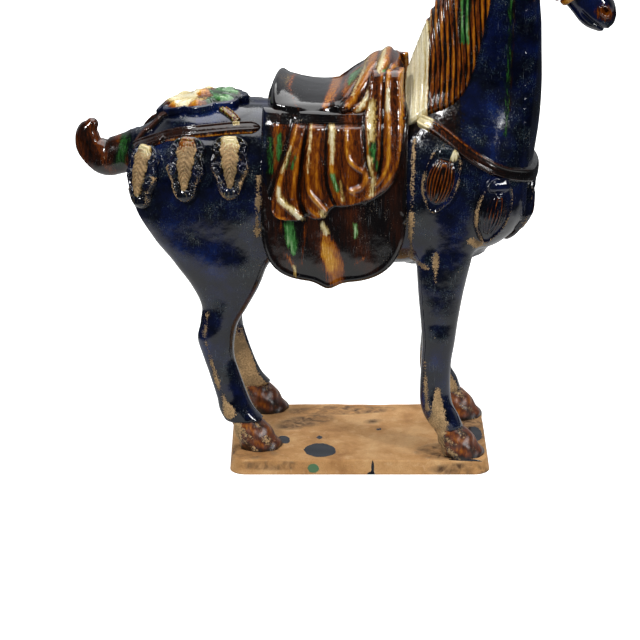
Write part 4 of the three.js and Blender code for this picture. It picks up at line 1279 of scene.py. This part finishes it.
mane_points, mane_groove = mane_surface()
mane_x, mane_y, mane_z = np.moveaxis(mane_points, -1, 0)
far_cream = np.maximum(9 - np.abs(mane_x - 100), 6 - np.abs(mane_x - 56))
from_cream = np.abs(mane_x - 62)
mane_tint = 0.3 * np.sin(mane_x * 0.9 + 1) * (mane_x > 70)
mane_marks = {
    "amber": 99.0,
    "cream_and_highlight": either_side(mane_x, mane_y, 12.5 - from_cream, far_cream),
    "green": np.where(mane_z > 470, 5 - np.abs(mane_x - 112), -99),
    "pool": 1.4 * mane_groove - 0.15 - 0.5 * np.clip(13 - from_cream, 0, 1) + mane_tint,
}
glazed("mane", mane_points, mane_marks)


# Forelock: a tuft of clay combed forwards from the poll between the ears, under amber glaze.
# [row, along the head, out from it, half width, half thickness].
FORELOCK = [[0, -18, 20, 10, 7], [1, 2, 27, 13, 8], [2, 22, 31, 11, 6], [3, 40, 29, 3, 3]]


def on_head(along, out, y):
    """A point of the horse's frame, given along the head from the poll and out to the forehead."""
    c, s = math.cos(DROOP), math.sin(DROOP)
    return stacked(POLL[0] + along * c + out * s, y, POLL[1] - along * s + out * c)


def forelock():
    """Ovals along the forehead, ridged into locks, whose ends draw in to a point."""
    share, turn = np.linspace(0, 3, 70)[:, None], np.linspace(0, 2 * np.pi, 72, endpoint=False)
    along, out, wide, thick = through(FORELOCK, share)
    grow = ends_closed(share / 3, 0.05) * (1 + 0.09 * np.cos(9 * turn + 0.8 * share))
    return on_head(along, out - 2 + thick * grow * np.cos(turn), wide * grow * np.sin(turn))


glazed("forelock", forelock(), {"amber": 99.0, "pool": 0.1})


# Bridle: flat straps modelled on the head, a broad one behind the ears that goes round the jaw, a brow
# band, cheek pieces and a nose band, all under amber glaze.
CROWN_MIDDLE = (168.0, 0, 576.0)
# Course of a cheek piece: [along the head, out from it].
CHEEK = [[12, -14], [40, -16], [72, -10], [100, -2]]


def band(line, facing, wide, high, sunk, closed, ridges=0):
    """A strap along a line on the body: a rounded-square section, superellipse of squareness 3, whose
    outer face may carry ridges along it. Its base is sunk under the surface. Width, height and
    ridges may change along it."""
    wide, high, ridges = (np.broadcast_to(v, len(line))[:, None] for v in (wide, high, ridges))
    ahead = np.roll(line, -1, 0) - np.roll(line, 1, 0)
    if not closed:
        ahead[0], ahead[-1] = line[1] - line[0], line[-1] - line[-2]
    across = np.cross(ahead, facing)
    across /= np.linalg.norm(across, axis=1, keepdims=True)
    turn = np.linspace(0, 2 * np.pi, 40, endpoint=False)
    c, s = np.cos(turn), np.sin(turn)
    flat = np.sign(c) * np.abs(c) ** (2 / 3)
    raised = high * np.abs(s) ** (2 / 3) + ridges * np.cos(3 * np.pi * flat) * (s > 0.2)
    out = np.where(s > 0, raised, -sunk * np.abs(s))
    offset = across[:, None] * (wide / 2 * flat)[..., None] + facing[:, None] * out[..., None]
    close = 1.0 if closed else ends_closed(np.linspace(0, 1, len(line)), 0.025)[:, None, None]
    return line[:, None] + offset * close, out


def even_line(points, spacing):
    """Points at even steps along a smooth curve through the given ones."""
    fine = curve_through(points, 40 * len(points))
    run = np.concatenate([[0], np.cumsum(np.linalg.norm(np.diff(fine, axis=0), axis=1))])
    at = np.linspace(0, run[-1], max(4, int(run[-1] / spacing)))
    return np.stack([np.interp(at, run, column) for column in fine.T], -1)


def strap_piece(name, line, facing, wide, high, closed=False, ridges=0, **colours):
    """A strap laid on the body and glazed, thin on its ridges."""
    surface, out = band(line, facing, wide, high, 4, closed, ridges)
    marks = {"pool": 0.5 - 1.1 * np.clip(out / high, 0, 1), **colours}
    faces = quads(*surface.shape[:2], round_rows=closed, round_columns=True)
    glazed(name, surface, marks, faces)


def head_gap(x, y, z):
    """Skull, neck and trunk together, smooth, for the bands to lie on."""
    return melt(skull_gap(x, y, z), neck_gap(x, y, z), MELT["head"])


def head_ring(along, tilt, low, high):
    """Points round the head where a leaning plane cuts it, from a turn low to a turn high."""
    turn = np.radians(np.linspace(low, high, 120))
    way = on_head(tilt * np.cos(turn), np.cos(turn), np.sin(turn)) - on_head(0, 0, 0)
    return landed(on_head(along, -6, 0), way, head_gap)


crown_turn = np.radians(np.linspace(0, 360, 160, endpoint=False))
crown_up = np.cos(crown_turn)
crown_way = stacked(-CROWN["up"] * crown_up, np.sin(crown_turn), CROWN["along"] * crown_up)
crown_line, crown_facing = landed(CROWN_MIDDLE, crown_way, head_gap)
strap_piece("bridle_crown", crown_line, crown_facing, 10, 4.5, closed=True, amber=99.0)
for name, along, tilt, low, high in (("bridle_nose", 104, 0, 0, 357), ("bridle_brow", 26, 0.15, -100, 100)):
    line, facing = head_ring(along, tilt, low, high)
    strap_piece(name, line, facing, 7, 3, closed=high > 300, amber=99.0)
cheek_along, cheek_out = even_line(CHEEK, 1.5).T
for side, name in ((-1, "near"), (1, "far")):
    line, facing = landed(on_head(cheek_along, cheek_out, 0), np.array([0.0, side, 0]), head_gap)
    strap_piece("bridle_cheek_" + name, line, facing, 6, 3, amber=99.0)


# Crupper and rump straps: bands of clay with three ridges along them, pressed on round the rump from
# the cloth, with two shorter ones over the croup. Glazed blue, rubbed brown along the top.
# Course of the crupper: [x, z].
CRUPPER = [[-243, 342], [-231, 352], [-213, 361], [-187, 369.5], [-141, 375.5], [-98, 377]]
CRUPPER_MIDDLE = -150
STRAP = {"wide": 15, "high": 4.5, "ridges": 0.9}
# Straps over the croup: name, the points that lines from inside the rump aim at for its two ends, and
# its colours.
RUMP_START = np.array([-160.0, 0, 320])
RUMP_STRAPS = (
    ("rear", [[-241, 27, 346], [-200, 20, 384]], {"dark": 99.0}),
    ("croup", [[-148, 26, 384], [-126, 48, 384]], {"dark": 99.0, "amber": 0.6, "green": -1.0}),
)


def crupper_at(turn):
    """Where the crupper runs at a turn about the middle of the rump, and the way the body faces. Its
    height follows from the x where it lands, so it is found in a few rounds."""
    way = stacked(-np.cos(turn), np.sin(turn), 0)
    z = 372.0
    for _ in range(4):
        point, _ = landed(stacked(CRUPPER_MIDDLE, 0, z), way)
        z = through(CRUPPER, point[..., 0])[0]
    return landed(stacked(CRUPPER_MIDDLE, 0, z), way)


crupper_line, crupper_facing = crupper_at(np.radians(np.linspace(-134, 134, 270)))
crupper_band = (STRAP["wide"], STRAP["high"], 4, False, STRAP["ridges"])
surface, out = band(crupper_line, crupper_facing, *crupper_band)
line_x, _, line_z = crupper_line.T[..., None]
lower = line_z - surface[..., 2] - 2.5
crupper_marks = {
    "dark": line_x + 238,
    "amber": np.minimum(lower, (line_x + 214) / 3),
    "cream_and_highlight": np.where((lower < -4) & (np.abs(line_x + 128) < 4), 0.6, -99.0),
    "pool": 0.15 - 0.4 * np.clip(out / STRAP["high"], 0, 1) - 0.6 * (lower > 0) * (line_x > -205),
}
glazed("crupper", surface, crupper_marks)
for side, hand in ((-1, "near"), (1, "far")):
    for name, ends, colours in RUMP_STRAPS:
        line, facing = landed(RUMP_START, np.linspace(*ends, 60) * [1, side, 1] - RUMP_START)
        strap_piece(f"strap_{name}_{hand}", line, facing, 10, 3.8, ridges=0.8, **colours)


# Breast strap: the same band of clay round the chest from cloth to cloth, rolled broader in front and
# brown where the glaze is thin.
# Its height at turns about the middle of the chest, in degrees.
BREAST = [[0, 326], [22, 329], [45, 338], [65, 355], [84, 373], [100, 384], [122, 391]]
BREAST_MIDDLE = 95


def breast_at(turn, under=0):
    """Where the breast strap runs at a turn, or so far under it, and the way the body faces."""
    way = stacked(np.cos(np.radians(turn)), np.sin(np.radians(turn)), 0)
    return landed(stacked(BREAST_MIDDLE, 0, through(BREAST, np.abs(turn))[0] - under), way)


def evened(values, reach):
    """Each row the mean of those within a reach of it along the line, twice over."""
    for _ in range(2):
        padded = np.concatenate([np.repeat(values[:1], reach, 0), values, np.repeat(values[-1:], reach, 0)])
        total = np.cumsum(np.concatenate([0 * padded[:1], padded]), 0)
        values = (total[2 * reach + 1 :] - total[: -2 * reach - 1]) / (2 * reach + 1)
    return values


turns = np.linspace(-122, 122, 280)
breast_line, breast_facing = breast_at(turns)
breast_line, breast_facing = evened(breast_line, 4), evened(breast_facing, 18)
breast_facing = breast_facing / np.linalg.norm(breast_facing, axis=1, keepdims=True)
roll = np.exp(-((turns / 24) ** 2))
breast_band = (14 + 8 * roll, 5.5 + 1.5 * roll, 6, False, 1.2 * (1 - roll))
surface, out = band(breast_line, breast_facing, *breast_band)
lower = breast_line[:, None, 2] - surface[..., 2]
away = np.abs(turns)[:, None]
on_ridges = (np.abs(lower - 5.2) < 1.3) | (np.abs(lower + 5.5) < 0.9)
breast_marks = {
    "dark": 99.0,
    "amber": np.where(on_ridges, 0.9, -1.4) + np.clip((away - 75) / 30, -1, 1),
    "cream_and_highlight": np.minimum(away - 104, 9),
    "clay": np.where(lower > 5.8, 1.0, -3.0) - 9 * np.clip(50 - away, 0, 1),
    "pool": 0.35 - 0.6 * np.clip(out / 6, 0, 1) * np.clip((away - 30) / 30, 0, 1),
}
glazed("breast_strap", surface, breast_marks)


# Pendants: apricot-leaf drops hanging from the crupper, pressed in a mould and luted on. A raised rim
# worn to the clay goes round scrolls, with a veined leaf at the head and a bulb at the foot.
DROP = {"high": 68, "half": 21, "plate": 4}
# Half widths at shares of the way down: the drop's as a share of its widest, and the leaf's in mm.
DROP_OUTLINE = [
    [0, 0.30], [0.04, 0.62], [0.12, 0.86], [0.22, 0.92], [0.3, 0.86], [0.38, 0.95], [0.5, 1.0],
    [0.62, 0.86], [0.7, 0.72], [0.78, 0.66], [0.86, 0.6], [0.94, 0.42], [1.0, 0.12],
]
LEAF = [[0.02, 4], [0.08, 8.5], [0.16, 10], [0.3, 9.6], [0.48, 8], [0.64, 5.6], [0.76, 3.2], [0.82, 0.6]]
# Scrolls beside the leaf: [share of the half width, share of the way down, size].
CURLS = ((0.66, 0.24, 6.2), (0.66, 0.53, 6.0), (0.42, 0.77, 4.2))
# Where each hangs: its turn about the rump, how far below the strap, how far down amber runs, and the
# share of the relief on the far side.
DROPS = {"rear": (37, 1, -1, 0.5), "middle": (66, 3, -16, 0.2), "front": (106, 5, -1, 0.5)}


def plate_grid(outline, size, rings=40, around=200):
    """A flat shape as rings from its middle out to its outline: offsets across and up, and how far
    each point lies inside the outline."""
    high = size["high"]
    down = 0.5 - 0.5 * np.cos(np.pi * np.linspace(0, 1, around // 2 + 1))
    wide = size["half"] * through(outline, down)[0]
    right, left = stacked(wide, -high * down), stacked(-wide, -high * down)
    edge = np.concatenate([right, left[-2:0:-1]])
    middle = np.array([0.0, -high * 0.48])
    ring = np.linspace(0, 1, rings)[:, None, None]
    across, up = np.moveaxis(middle + (edge - middle) * (1 - (1 - ring) ** 1.25), -1, 0)
    inside = np.hypot(across[..., None] - edge[:, 0], up[..., None] - edge[:, 1]).min(-1)
    inside[-1] = 0
    return across, up, inside


def spiral_rise(p, q, middle, size, wide, high, hand):
    """The rise of a scroll: a ridge along one and a quarter turns of a spiral about a middle, with
    r = size (1 - turns / 1.5)."""
    turn = np.linspace(0, 2 * np.pi * 1.25, 70)
    r = size * (1 - turn / (2 * np.pi * 1.5))
    line_p, line_q = middle[0] + hand * r * np.cos(turn), middle[1] + r * np.sin(turn)
    away = np.hypot(p[..., None] - line_p, q[..., None] - line_q).min(-1)
    return high * np.clip(1 - (away / wide) ** 2, 0, None) ** 0.7


def drop_rise(p, q, inside):
    """Relief of a pendant: rim roll, a long leaf with a midrib and slanting veins, pairs of scrolls
    beside it, and the bulb at its foot."""
    high, half = DROP["high"], DROP["half"]
    rim = 3.0 * np.exp(-(((inside - 2.8) / 1.8) ** 2))
    down = -q / high
    leaf_wide = through(LEAF, down)[0]
    notches = 0.04 * np.cos((q + 1.3 * leaf_wide) * 1.24 + np.sign(p))
    leaf_wide = leaf_wide * (1 + notches + 0.08 * np.sin(q * 0.5 + 2 * np.sign(p)))
    swell = np.clip(1 - (p / leaf_wide) ** 2, 0, None) ** 0.5 * (down > LEAF[0][0]) * (down < LEAF[-1][0])
    slanting = (q + np.abs(p) * 1.3) * 0.62 + 0.9 * np.sin(p / 2.4 + q / 5.3)
    veins = 2.0 * np.abs(np.sin(slanting)) ** 0.8 - 1.4 * np.exp(-((p / 1.1) ** 2))
    leaf = swell * 4.6 + veins * np.clip(swell * 3, 0, 1)
    scrolls = [
        spiral_rise(p, q, (hand * half * across, -high * at), size, 2.0, 4.0, hand)
        for hand in (-1, 1)
        for across, at, size in CURLS
    ]
    bulb = np.clip(1 - (p / (half * 0.42)) ** 2 - ((q + high * 0.87) / (high * 0.1)) ** 2, 0, None)
    return np.maximum.reduce([rim, leaf, *scrolls, 6.0 * bulb**0.5]), leaf, veins


def plate_height(inside, size, relief):
    """Height of a plate with its relief, which both fall to nothing at the outline."""
    return size["plate"] * np.clip(inside / 2.5, 0, 1) ** 0.5 + relief * np.clip(inside / 1.5, 0, 1)


def draped(origin, ways, outwards, low, high, net):
    """A rule that lays flat offsets over the body: from an origin inside it by p and q along two
    ways, then outwards to the surface. It is found on a coarse net and read between its points."""
    net_p, net_q = (np.linspace(low[k], high[k], net) for k in (0, 1))
    start = origin + net_p[:, None, None] * ways[0] + net_q[:, None] * ways[1]
    found = np.stack(landed(start, outwards))

    def lay(p, q):
        i = np.clip((p - net_p[0]) / (net_p[1] - net_p[0]), 0, net - 1.001)
        j = np.clip((q - net_q[0]) / (net_q[1] - net_q[0]), 0, net - 1.001)
        a, b = i.astype(int), j.astype(int)
        f, g = (i - a)[..., None], (j - b)[..., None]
        here = found[:, a, b] * (1 - f) + found[:, a + 1, b] * f
        above = found[:, a, b + 1] * (1 - f) + found[:, a + 1, b + 1] * f
        return here * (1 - g) + above * g

    return lay


def hung_from(point, facing, low, high):
    """The rule for a plate that hangs from a place on the body, tipped less than the body is."""
    outwards = facing * [1, 1, 0.4]
    outwards = outwards / np.linalg.norm(outwards)
    level = np.cross([0, 0, 1], outwards)
    level = level / np.linalg.norm(level)
    return draped(point - 30 * outwards, (level, np.cross(outwards, level)), outwards, low, high, 13)


def hang(name, lay, height, p, q, marks, sunk=4):
    """A relief plate laid over the body. Its back, of a few rings only, is a little under the
    surface."""
    points, facing = lay(p, q)
    rows = len(p)
    under = [rows - 1, 2 * rows // 3, rows // 3, 0]
    surface = np.concatenate([points + facing * height[..., None], (points - facing * sunk)[under]])
    marks = {mark: np.broadcast_to(value, p.shape) for mark, value in marks.items()}
    marks = {mark: np.concatenate([value, value[under]]) for mark, value in marks.items()}
    glazed(name, surface, marks)


drop_p, drop_q, drop_inside = plate_grid(DROP_OUTLINE, DROP)
drop_relief, drop_leaf, drop_veins = drop_rise(drop_p, drop_q, drop_inside)
drop_height = plate_height(drop_inside, DROP, drop_relief)
worn_rim = np.where(drop_q < -30, 1.6 - np.abs(drop_inside - 2.6), -99) - 1.4
worn_leaf = np.minimum(drop_leaf - 1, (-9 - drop_q) / 4) + 1.6 * (drop_veins - 1.5)
drop_worn = np.maximum(worn_rim, np.where(drop_leaf > 0.4, worn_leaf, -99))
for side, hand in ((-1, "near"), (1, "far")):
    for name, (turn, under, amber_foot, far_share) in DROPS.items():
        (point,), (facing,) = crupper_at(np.radians([turn * side]))
        lay = hung_from(point - [0, 0, 4.5 + under], facing, (-24, -72), (24, 4))
        marks = {
            "green": np.where(drop_q > -8, -1.0, -99),
            "amber": np.where(drop_q > amber_foot, drop_leaf - 1.5, -99),
            "cream_and_highlight": np.where(drop_q > amber_foot, -99, drop_leaf * 1.3 - 2.2),
            "clay": drop_worn,
            "pool": 0.5 - 0.13 * drop_relief,
        }
        height = drop_height * (1 if side < 0 else far_share)
        hang(f"pendant_{name}_{hand}", lay, height, drop_p, drop_q, marks)


# Tassels: oval drops on the breast strap, ribbed like a gathered cord, each in a raised frame under a
# curled cap. Pressed in a mould and luted on, blue with amber ribs.
TASSEL = {"high": 76, "half": 20, "plate": 4.5}
# Half width at shares of the way down.
TASSEL_OUTLINE = [
    [0, 0.3], [0.06, 0.6], [0.2, 0.86], [0.4, 1.0], [0.58, 1.0], [0.76, 0.84], [0.9, 0.5],
    [0.97, 0.28], [1.0, 0.1],
]
# Lumps of the cap: [share of the half width, share of the way down, size].
CAP = ((-0.3, 0.15, 0.3), (0.3, 0.13, 0.34), (0, 0.08, 0.3))
# Where each hangs: its turn about the chest, its lean, how far amber covers the ribs, which way its
# cream cap lies, and the share of the relief.
TASSELS = {
    "side_near": (-85, -0.24, 2, 1, 0.72),
    "chest_near": (-48, -0.14, -5.5, 0, 1),
    "front": (0, 0, -6, 0, 0.65),
    "chest_far": (48, 0.14, -5.5, 0, 1),
    "side_far": (85, 0.24, 2, -1, 0.72),
}


def tassel_rise(p, q, inside):
    """Frame roll, oval of ribs that draw together at head and foot, and the curled cap over it."""
    high, half = TASSEL["high"], TASSEL["half"]
    frame = 2.8 * np.exp(-(((inside - 2.4) / 1.5) ** 2))
    oval_p, oval_q = p / (half * 0.7), (q + high * 0.52) / (high * 0.32)
    swell = np.clip(1 - oval_p**2 - oval_q**2, 0, None) ** 0.5
    spread = p / np.sqrt(np.clip(1 - oval_q**2, 0.1, 1))
    comb = np.cos(2 * np.pi * spread / 3.4)
    ribs = (swell * 6.5 + 1.1 * comb * np.clip(swell * 4, 0, 1)) * (swell > 0)
    lumps = [
        1 - ((p / half - across) / size) ** 2 - ((q / high + at) / (size * 0.28)) ** 2
        for across, at, size in CAP
    ]
    cap = 4.5 * np.clip(np.maximum.reduce(lumps), 0, None) ** 0.5
    return np.maximum.reduce([frame, ribs, cap]), ribs, comb, cap


tassel_p, tassel_q, tassel_inside = plate_grid(TASSEL_OUTLINE, TASSEL, 36, 160)
tassel_relief, tassel_ribs, tassel_comb, tassel_cap = tassel_rise(tassel_p, tassel_q, tassel_inside)
tassel_height = plate_height(tassel_inside, TASSEL, tassel_relief)
on_ribs = tassel_ribs > 0.5
for name, (turn, lean, brown, cap_side, share) in TASSELS.items():
    (point,), (facing,) = breast_at(np.array([turn]), 5)
    lay = hung_from(point, facing, (-34, -82), (34, 12))
    lean_p = tassel_p * math.cos(lean) - tassel_q * math.sin(lean)
    lean_q = tassel_q * math.cos(lean) + tassel_p * math.sin(lean)
    covered = tassel_ribs + brown - 1.5 + (2 * tassel_comb if brown < 0 else 0)
    marks = {
        "amber": np.where(on_ribs, covered, -99),
        "cream_and_highlight": np.where(tassel_p * cap_side > 1, tassel_cap - 2.4, -99),
        "clay": np.where(tassel_q < -12, 1.6 - np.abs(tassel_inside - 2.4), -99) - 1.6,
        "pool": np.where(on_ribs, 0.4 - 0.5 * tassel_comb, 0.3 - 0.2 * tassel_relief),
    }
    hang("tassel_" + name, lay, tassel_height * share, lean_p, lean_q, marks, 5)


# Rosette on the croup: a flower of eight petals round a knob, modelled in clay and set where the
# straps meet. Green and amber glaze, with a pale cream band and spot across it that are a painted
# highlight.
ROSETTE = {"x": -170, "long": 50, "wide": 37, "pad": 4}
ring, turn = np.linspace(0, 1, 54)[:, None], np.linspace(0, 2 * np.pi, 208, endpoint=False)
petal = np.abs(np.cos(4 * turn)) ** 0.6
reach = ring * (0.86 + 0.14 * petal)
rose_p, rose_q = ROSETTE["long"] * reach * np.cos(turn), ROSETTE["wide"] * reach * np.sin(turn)
dome = 4.0 * (1 - ring**3) + 3.2 * np.exp(-(((ring - 0.72) / 0.16) ** 2)) * petal
knob = 6.0 * np.clip(1 - (ring / 0.24) ** 2, 0, None) ** 0.5
veins = 0.8 * np.cos(16 * turn + 2 * ring) * np.exp(-(((ring - 0.66) / 0.2) ** 2))
rim = 1.6 * np.exp(-(((ring - 0.93) / 0.04) ** 2))
rose_height = ROSETTE["pad"] + np.maximum(dome + veins, knob + 2) + rim
rose_height = rose_height * np.clip((1 - ring) / 0.04, 0, 1) ** 0.5
rose_wave = 3 * np.sin(rose_q / 4 + rose_p / 9)
on_flower = np.where(ring < 0.86, 0.0, -99.0)
ends_green = np.maximum(np.minimum(rose_p - 8 + rose_wave, 39 - rose_p), -40 - rose_p)
from_cream = np.abs(rose_p + 17)
painted_highlight_spot = 5 - np.hypot(rose_p - 2, rose_q + 20)
rose_marks = {
    "amber": 41 - rose_p + rose_wave + on_flower,
    "green": ends_green + on_flower,
    # Painted highlight: a pale cream band and spot, made paler still by a thinner pool under the band.
    "cream_and_highlight": np.maximum(17 - from_cream + rose_wave + rose_q / 3, painted_highlight_spot) + on_flower,
    "pool": 0.95 - 0.2 * (rose_height - ROSETTE["pad"]) + 0.1 * rose_wave
    - 0.4 * smooth_step((18 - from_cream) / 8),
}
x_way, y_way, z_way = np.eye(3)
on_croup = draped((ROSETTE["x"], 0, 330), (x_way, y_way), z_way, (-56, -42), (56, 42), 15)
hang("rosette", on_croup, rose_height, rose_p, rose_q, rose_marks)


# Studio: a plain white floor and backdrop in one, two soft boxes that give the glaze its small bright
# lights, a large dim one overhead, and the camera at the photograph's place and angle.
CAMERA = {"place": (-43.6, -3000, 1210), "down": 19.5, "focal_px": 2889, "frame_px": 640, "film": 36}


def studio():
    """Floor, lights and camera. The lens is the film width times focal length over frame, in pixels."""
    half = 9.0
    corners = np.array([[-half, -half, 0], [half, -half, 0], [half, half, 0], [-half, half, 0]])
    mesh = bpy.data.meshes.new("floor")
    mesh.from_pydata(corners.tolist(), [], [[0, 1, 2, 3]])
    floor = bpy.data.objects.new("floor", mesh)
    bpy.context.scene.collection.objects.link(floor)
    white = bpy.data.materials.new("white_paper_sheet")
    white.use_nodes = True
    tree = white.node_tree
    tree.nodes.clear()
    glow = {"Roughness": 0.9, "Emission Color": (1, 1, 1, 1)}
    seen = {"Base Color": linear("#f4f4f2"), "Emission Strength": 0.7, **glow}
    seen = node(tree, "BsdfPrincipled", seen)
    away = node(tree, "VectorMath", {"operation": "LENGTH"}, i0=node(tree, "TexCoord").outputs["Object"])
    fade = node(tree, "MapRange", {"From Min": 0.62, "From Max": 0.5}, Value=away.outputs["Value"])
    sheet = {"Base Color": linear("#a2a2a0"), "Emission Strength": 0.22, **glow}
    sheet = node(tree, "BsdfPrincipled", sheet)
    dark = node(tree, "BsdfDiffuse", {"Color": linear("#303236")})
    around = node(tree, "MixShader", i0=fade, i1=dark, i2=sheet)
    direct = node(tree, "LightPath").outputs["Is Camera Ray"]
    node(tree, "OutputMaterial", Surface=node(tree, "MixShader", i0=direct, i1=around, i2=seen))
    mesh.materials.append(white)
    for name, place, aim, long, wide, watts in (
        ("key_box", (-1.5, -1.9, 2.1), (0, 0, 0.35), 0.26, 0.6, 50),
        ("fill_box", (1.9, -1.5, 1.5), (0, 0, 0.3), 0.35, 0.9, 30),
        ("top_box", (0.1, 0.9, 2.6), (0.1, 0.9, 0), 2.4, 3.8, 85),
    ):
        light = bpy.data.lights.new(name, "AREA")
        light.shape, light.size, light.size_y, light.energy = "RECTANGLE", long, wide, watts
        lamp = bpy.data.objects.new(name, light)
        bpy.context.scene.collection.objects.link(lamp)
        lamp.location = place
        away = Vector(place) - Vector(aim)
        lamp.rotation_euler = away.to_track_quat("Z", "Y").to_euler()
    world = bpy.data.worlds.new("dim_room")
    world.use_nodes = True
    tree = world.node_tree
    tree.nodes.clear()
    toward = node(tree, "SeparateXYZ", Vector=node(tree, "TexCoord").outputs["Generated"])
    behind = node(tree, "MapRange", {"From Min": 0.1, "From Max": 0.5}, Value=toward.outputs["Y"])
    room = node(tree, "Mix", {"data_type": "RGBA", 6: linear("#3a3d42"), 7: linear("#a6a8ac")}, i0=behind)
    room = node(tree, "Background", Color=room)
    paper = node(tree, "Background", {"Color": (1, 1, 1, 1)})
    direct = node(tree, "LightPath").outputs["Is Camera Ray"]
    node(tree, "OutputWorld", Surface=node(tree, "MixShader", i0=direct, i1=room, i2=paper))
    bpy.context.scene.world = world
    camera = bpy.data.cameras.new("camera")
    camera.lens = CAMERA["film"] * CAMERA["focal_px"] / CAMERA["frame_px"]
    camera.sensor_width = CAMERA["film"]
    camera.clip_end = 50
    view = bpy.data.objects.new("camera", camera)
    view.location = np.array(CAMERA["place"]) * MM
    view.rotation_euler = (math.radians(90 - CAMERA["down"]), 0, 0)
    bpy.context.scene.collection.objects.link(view)
    bpy.context.scene.camera = view
    bpy.context.scene.view_settings.view_transform = "Standard"


studio()
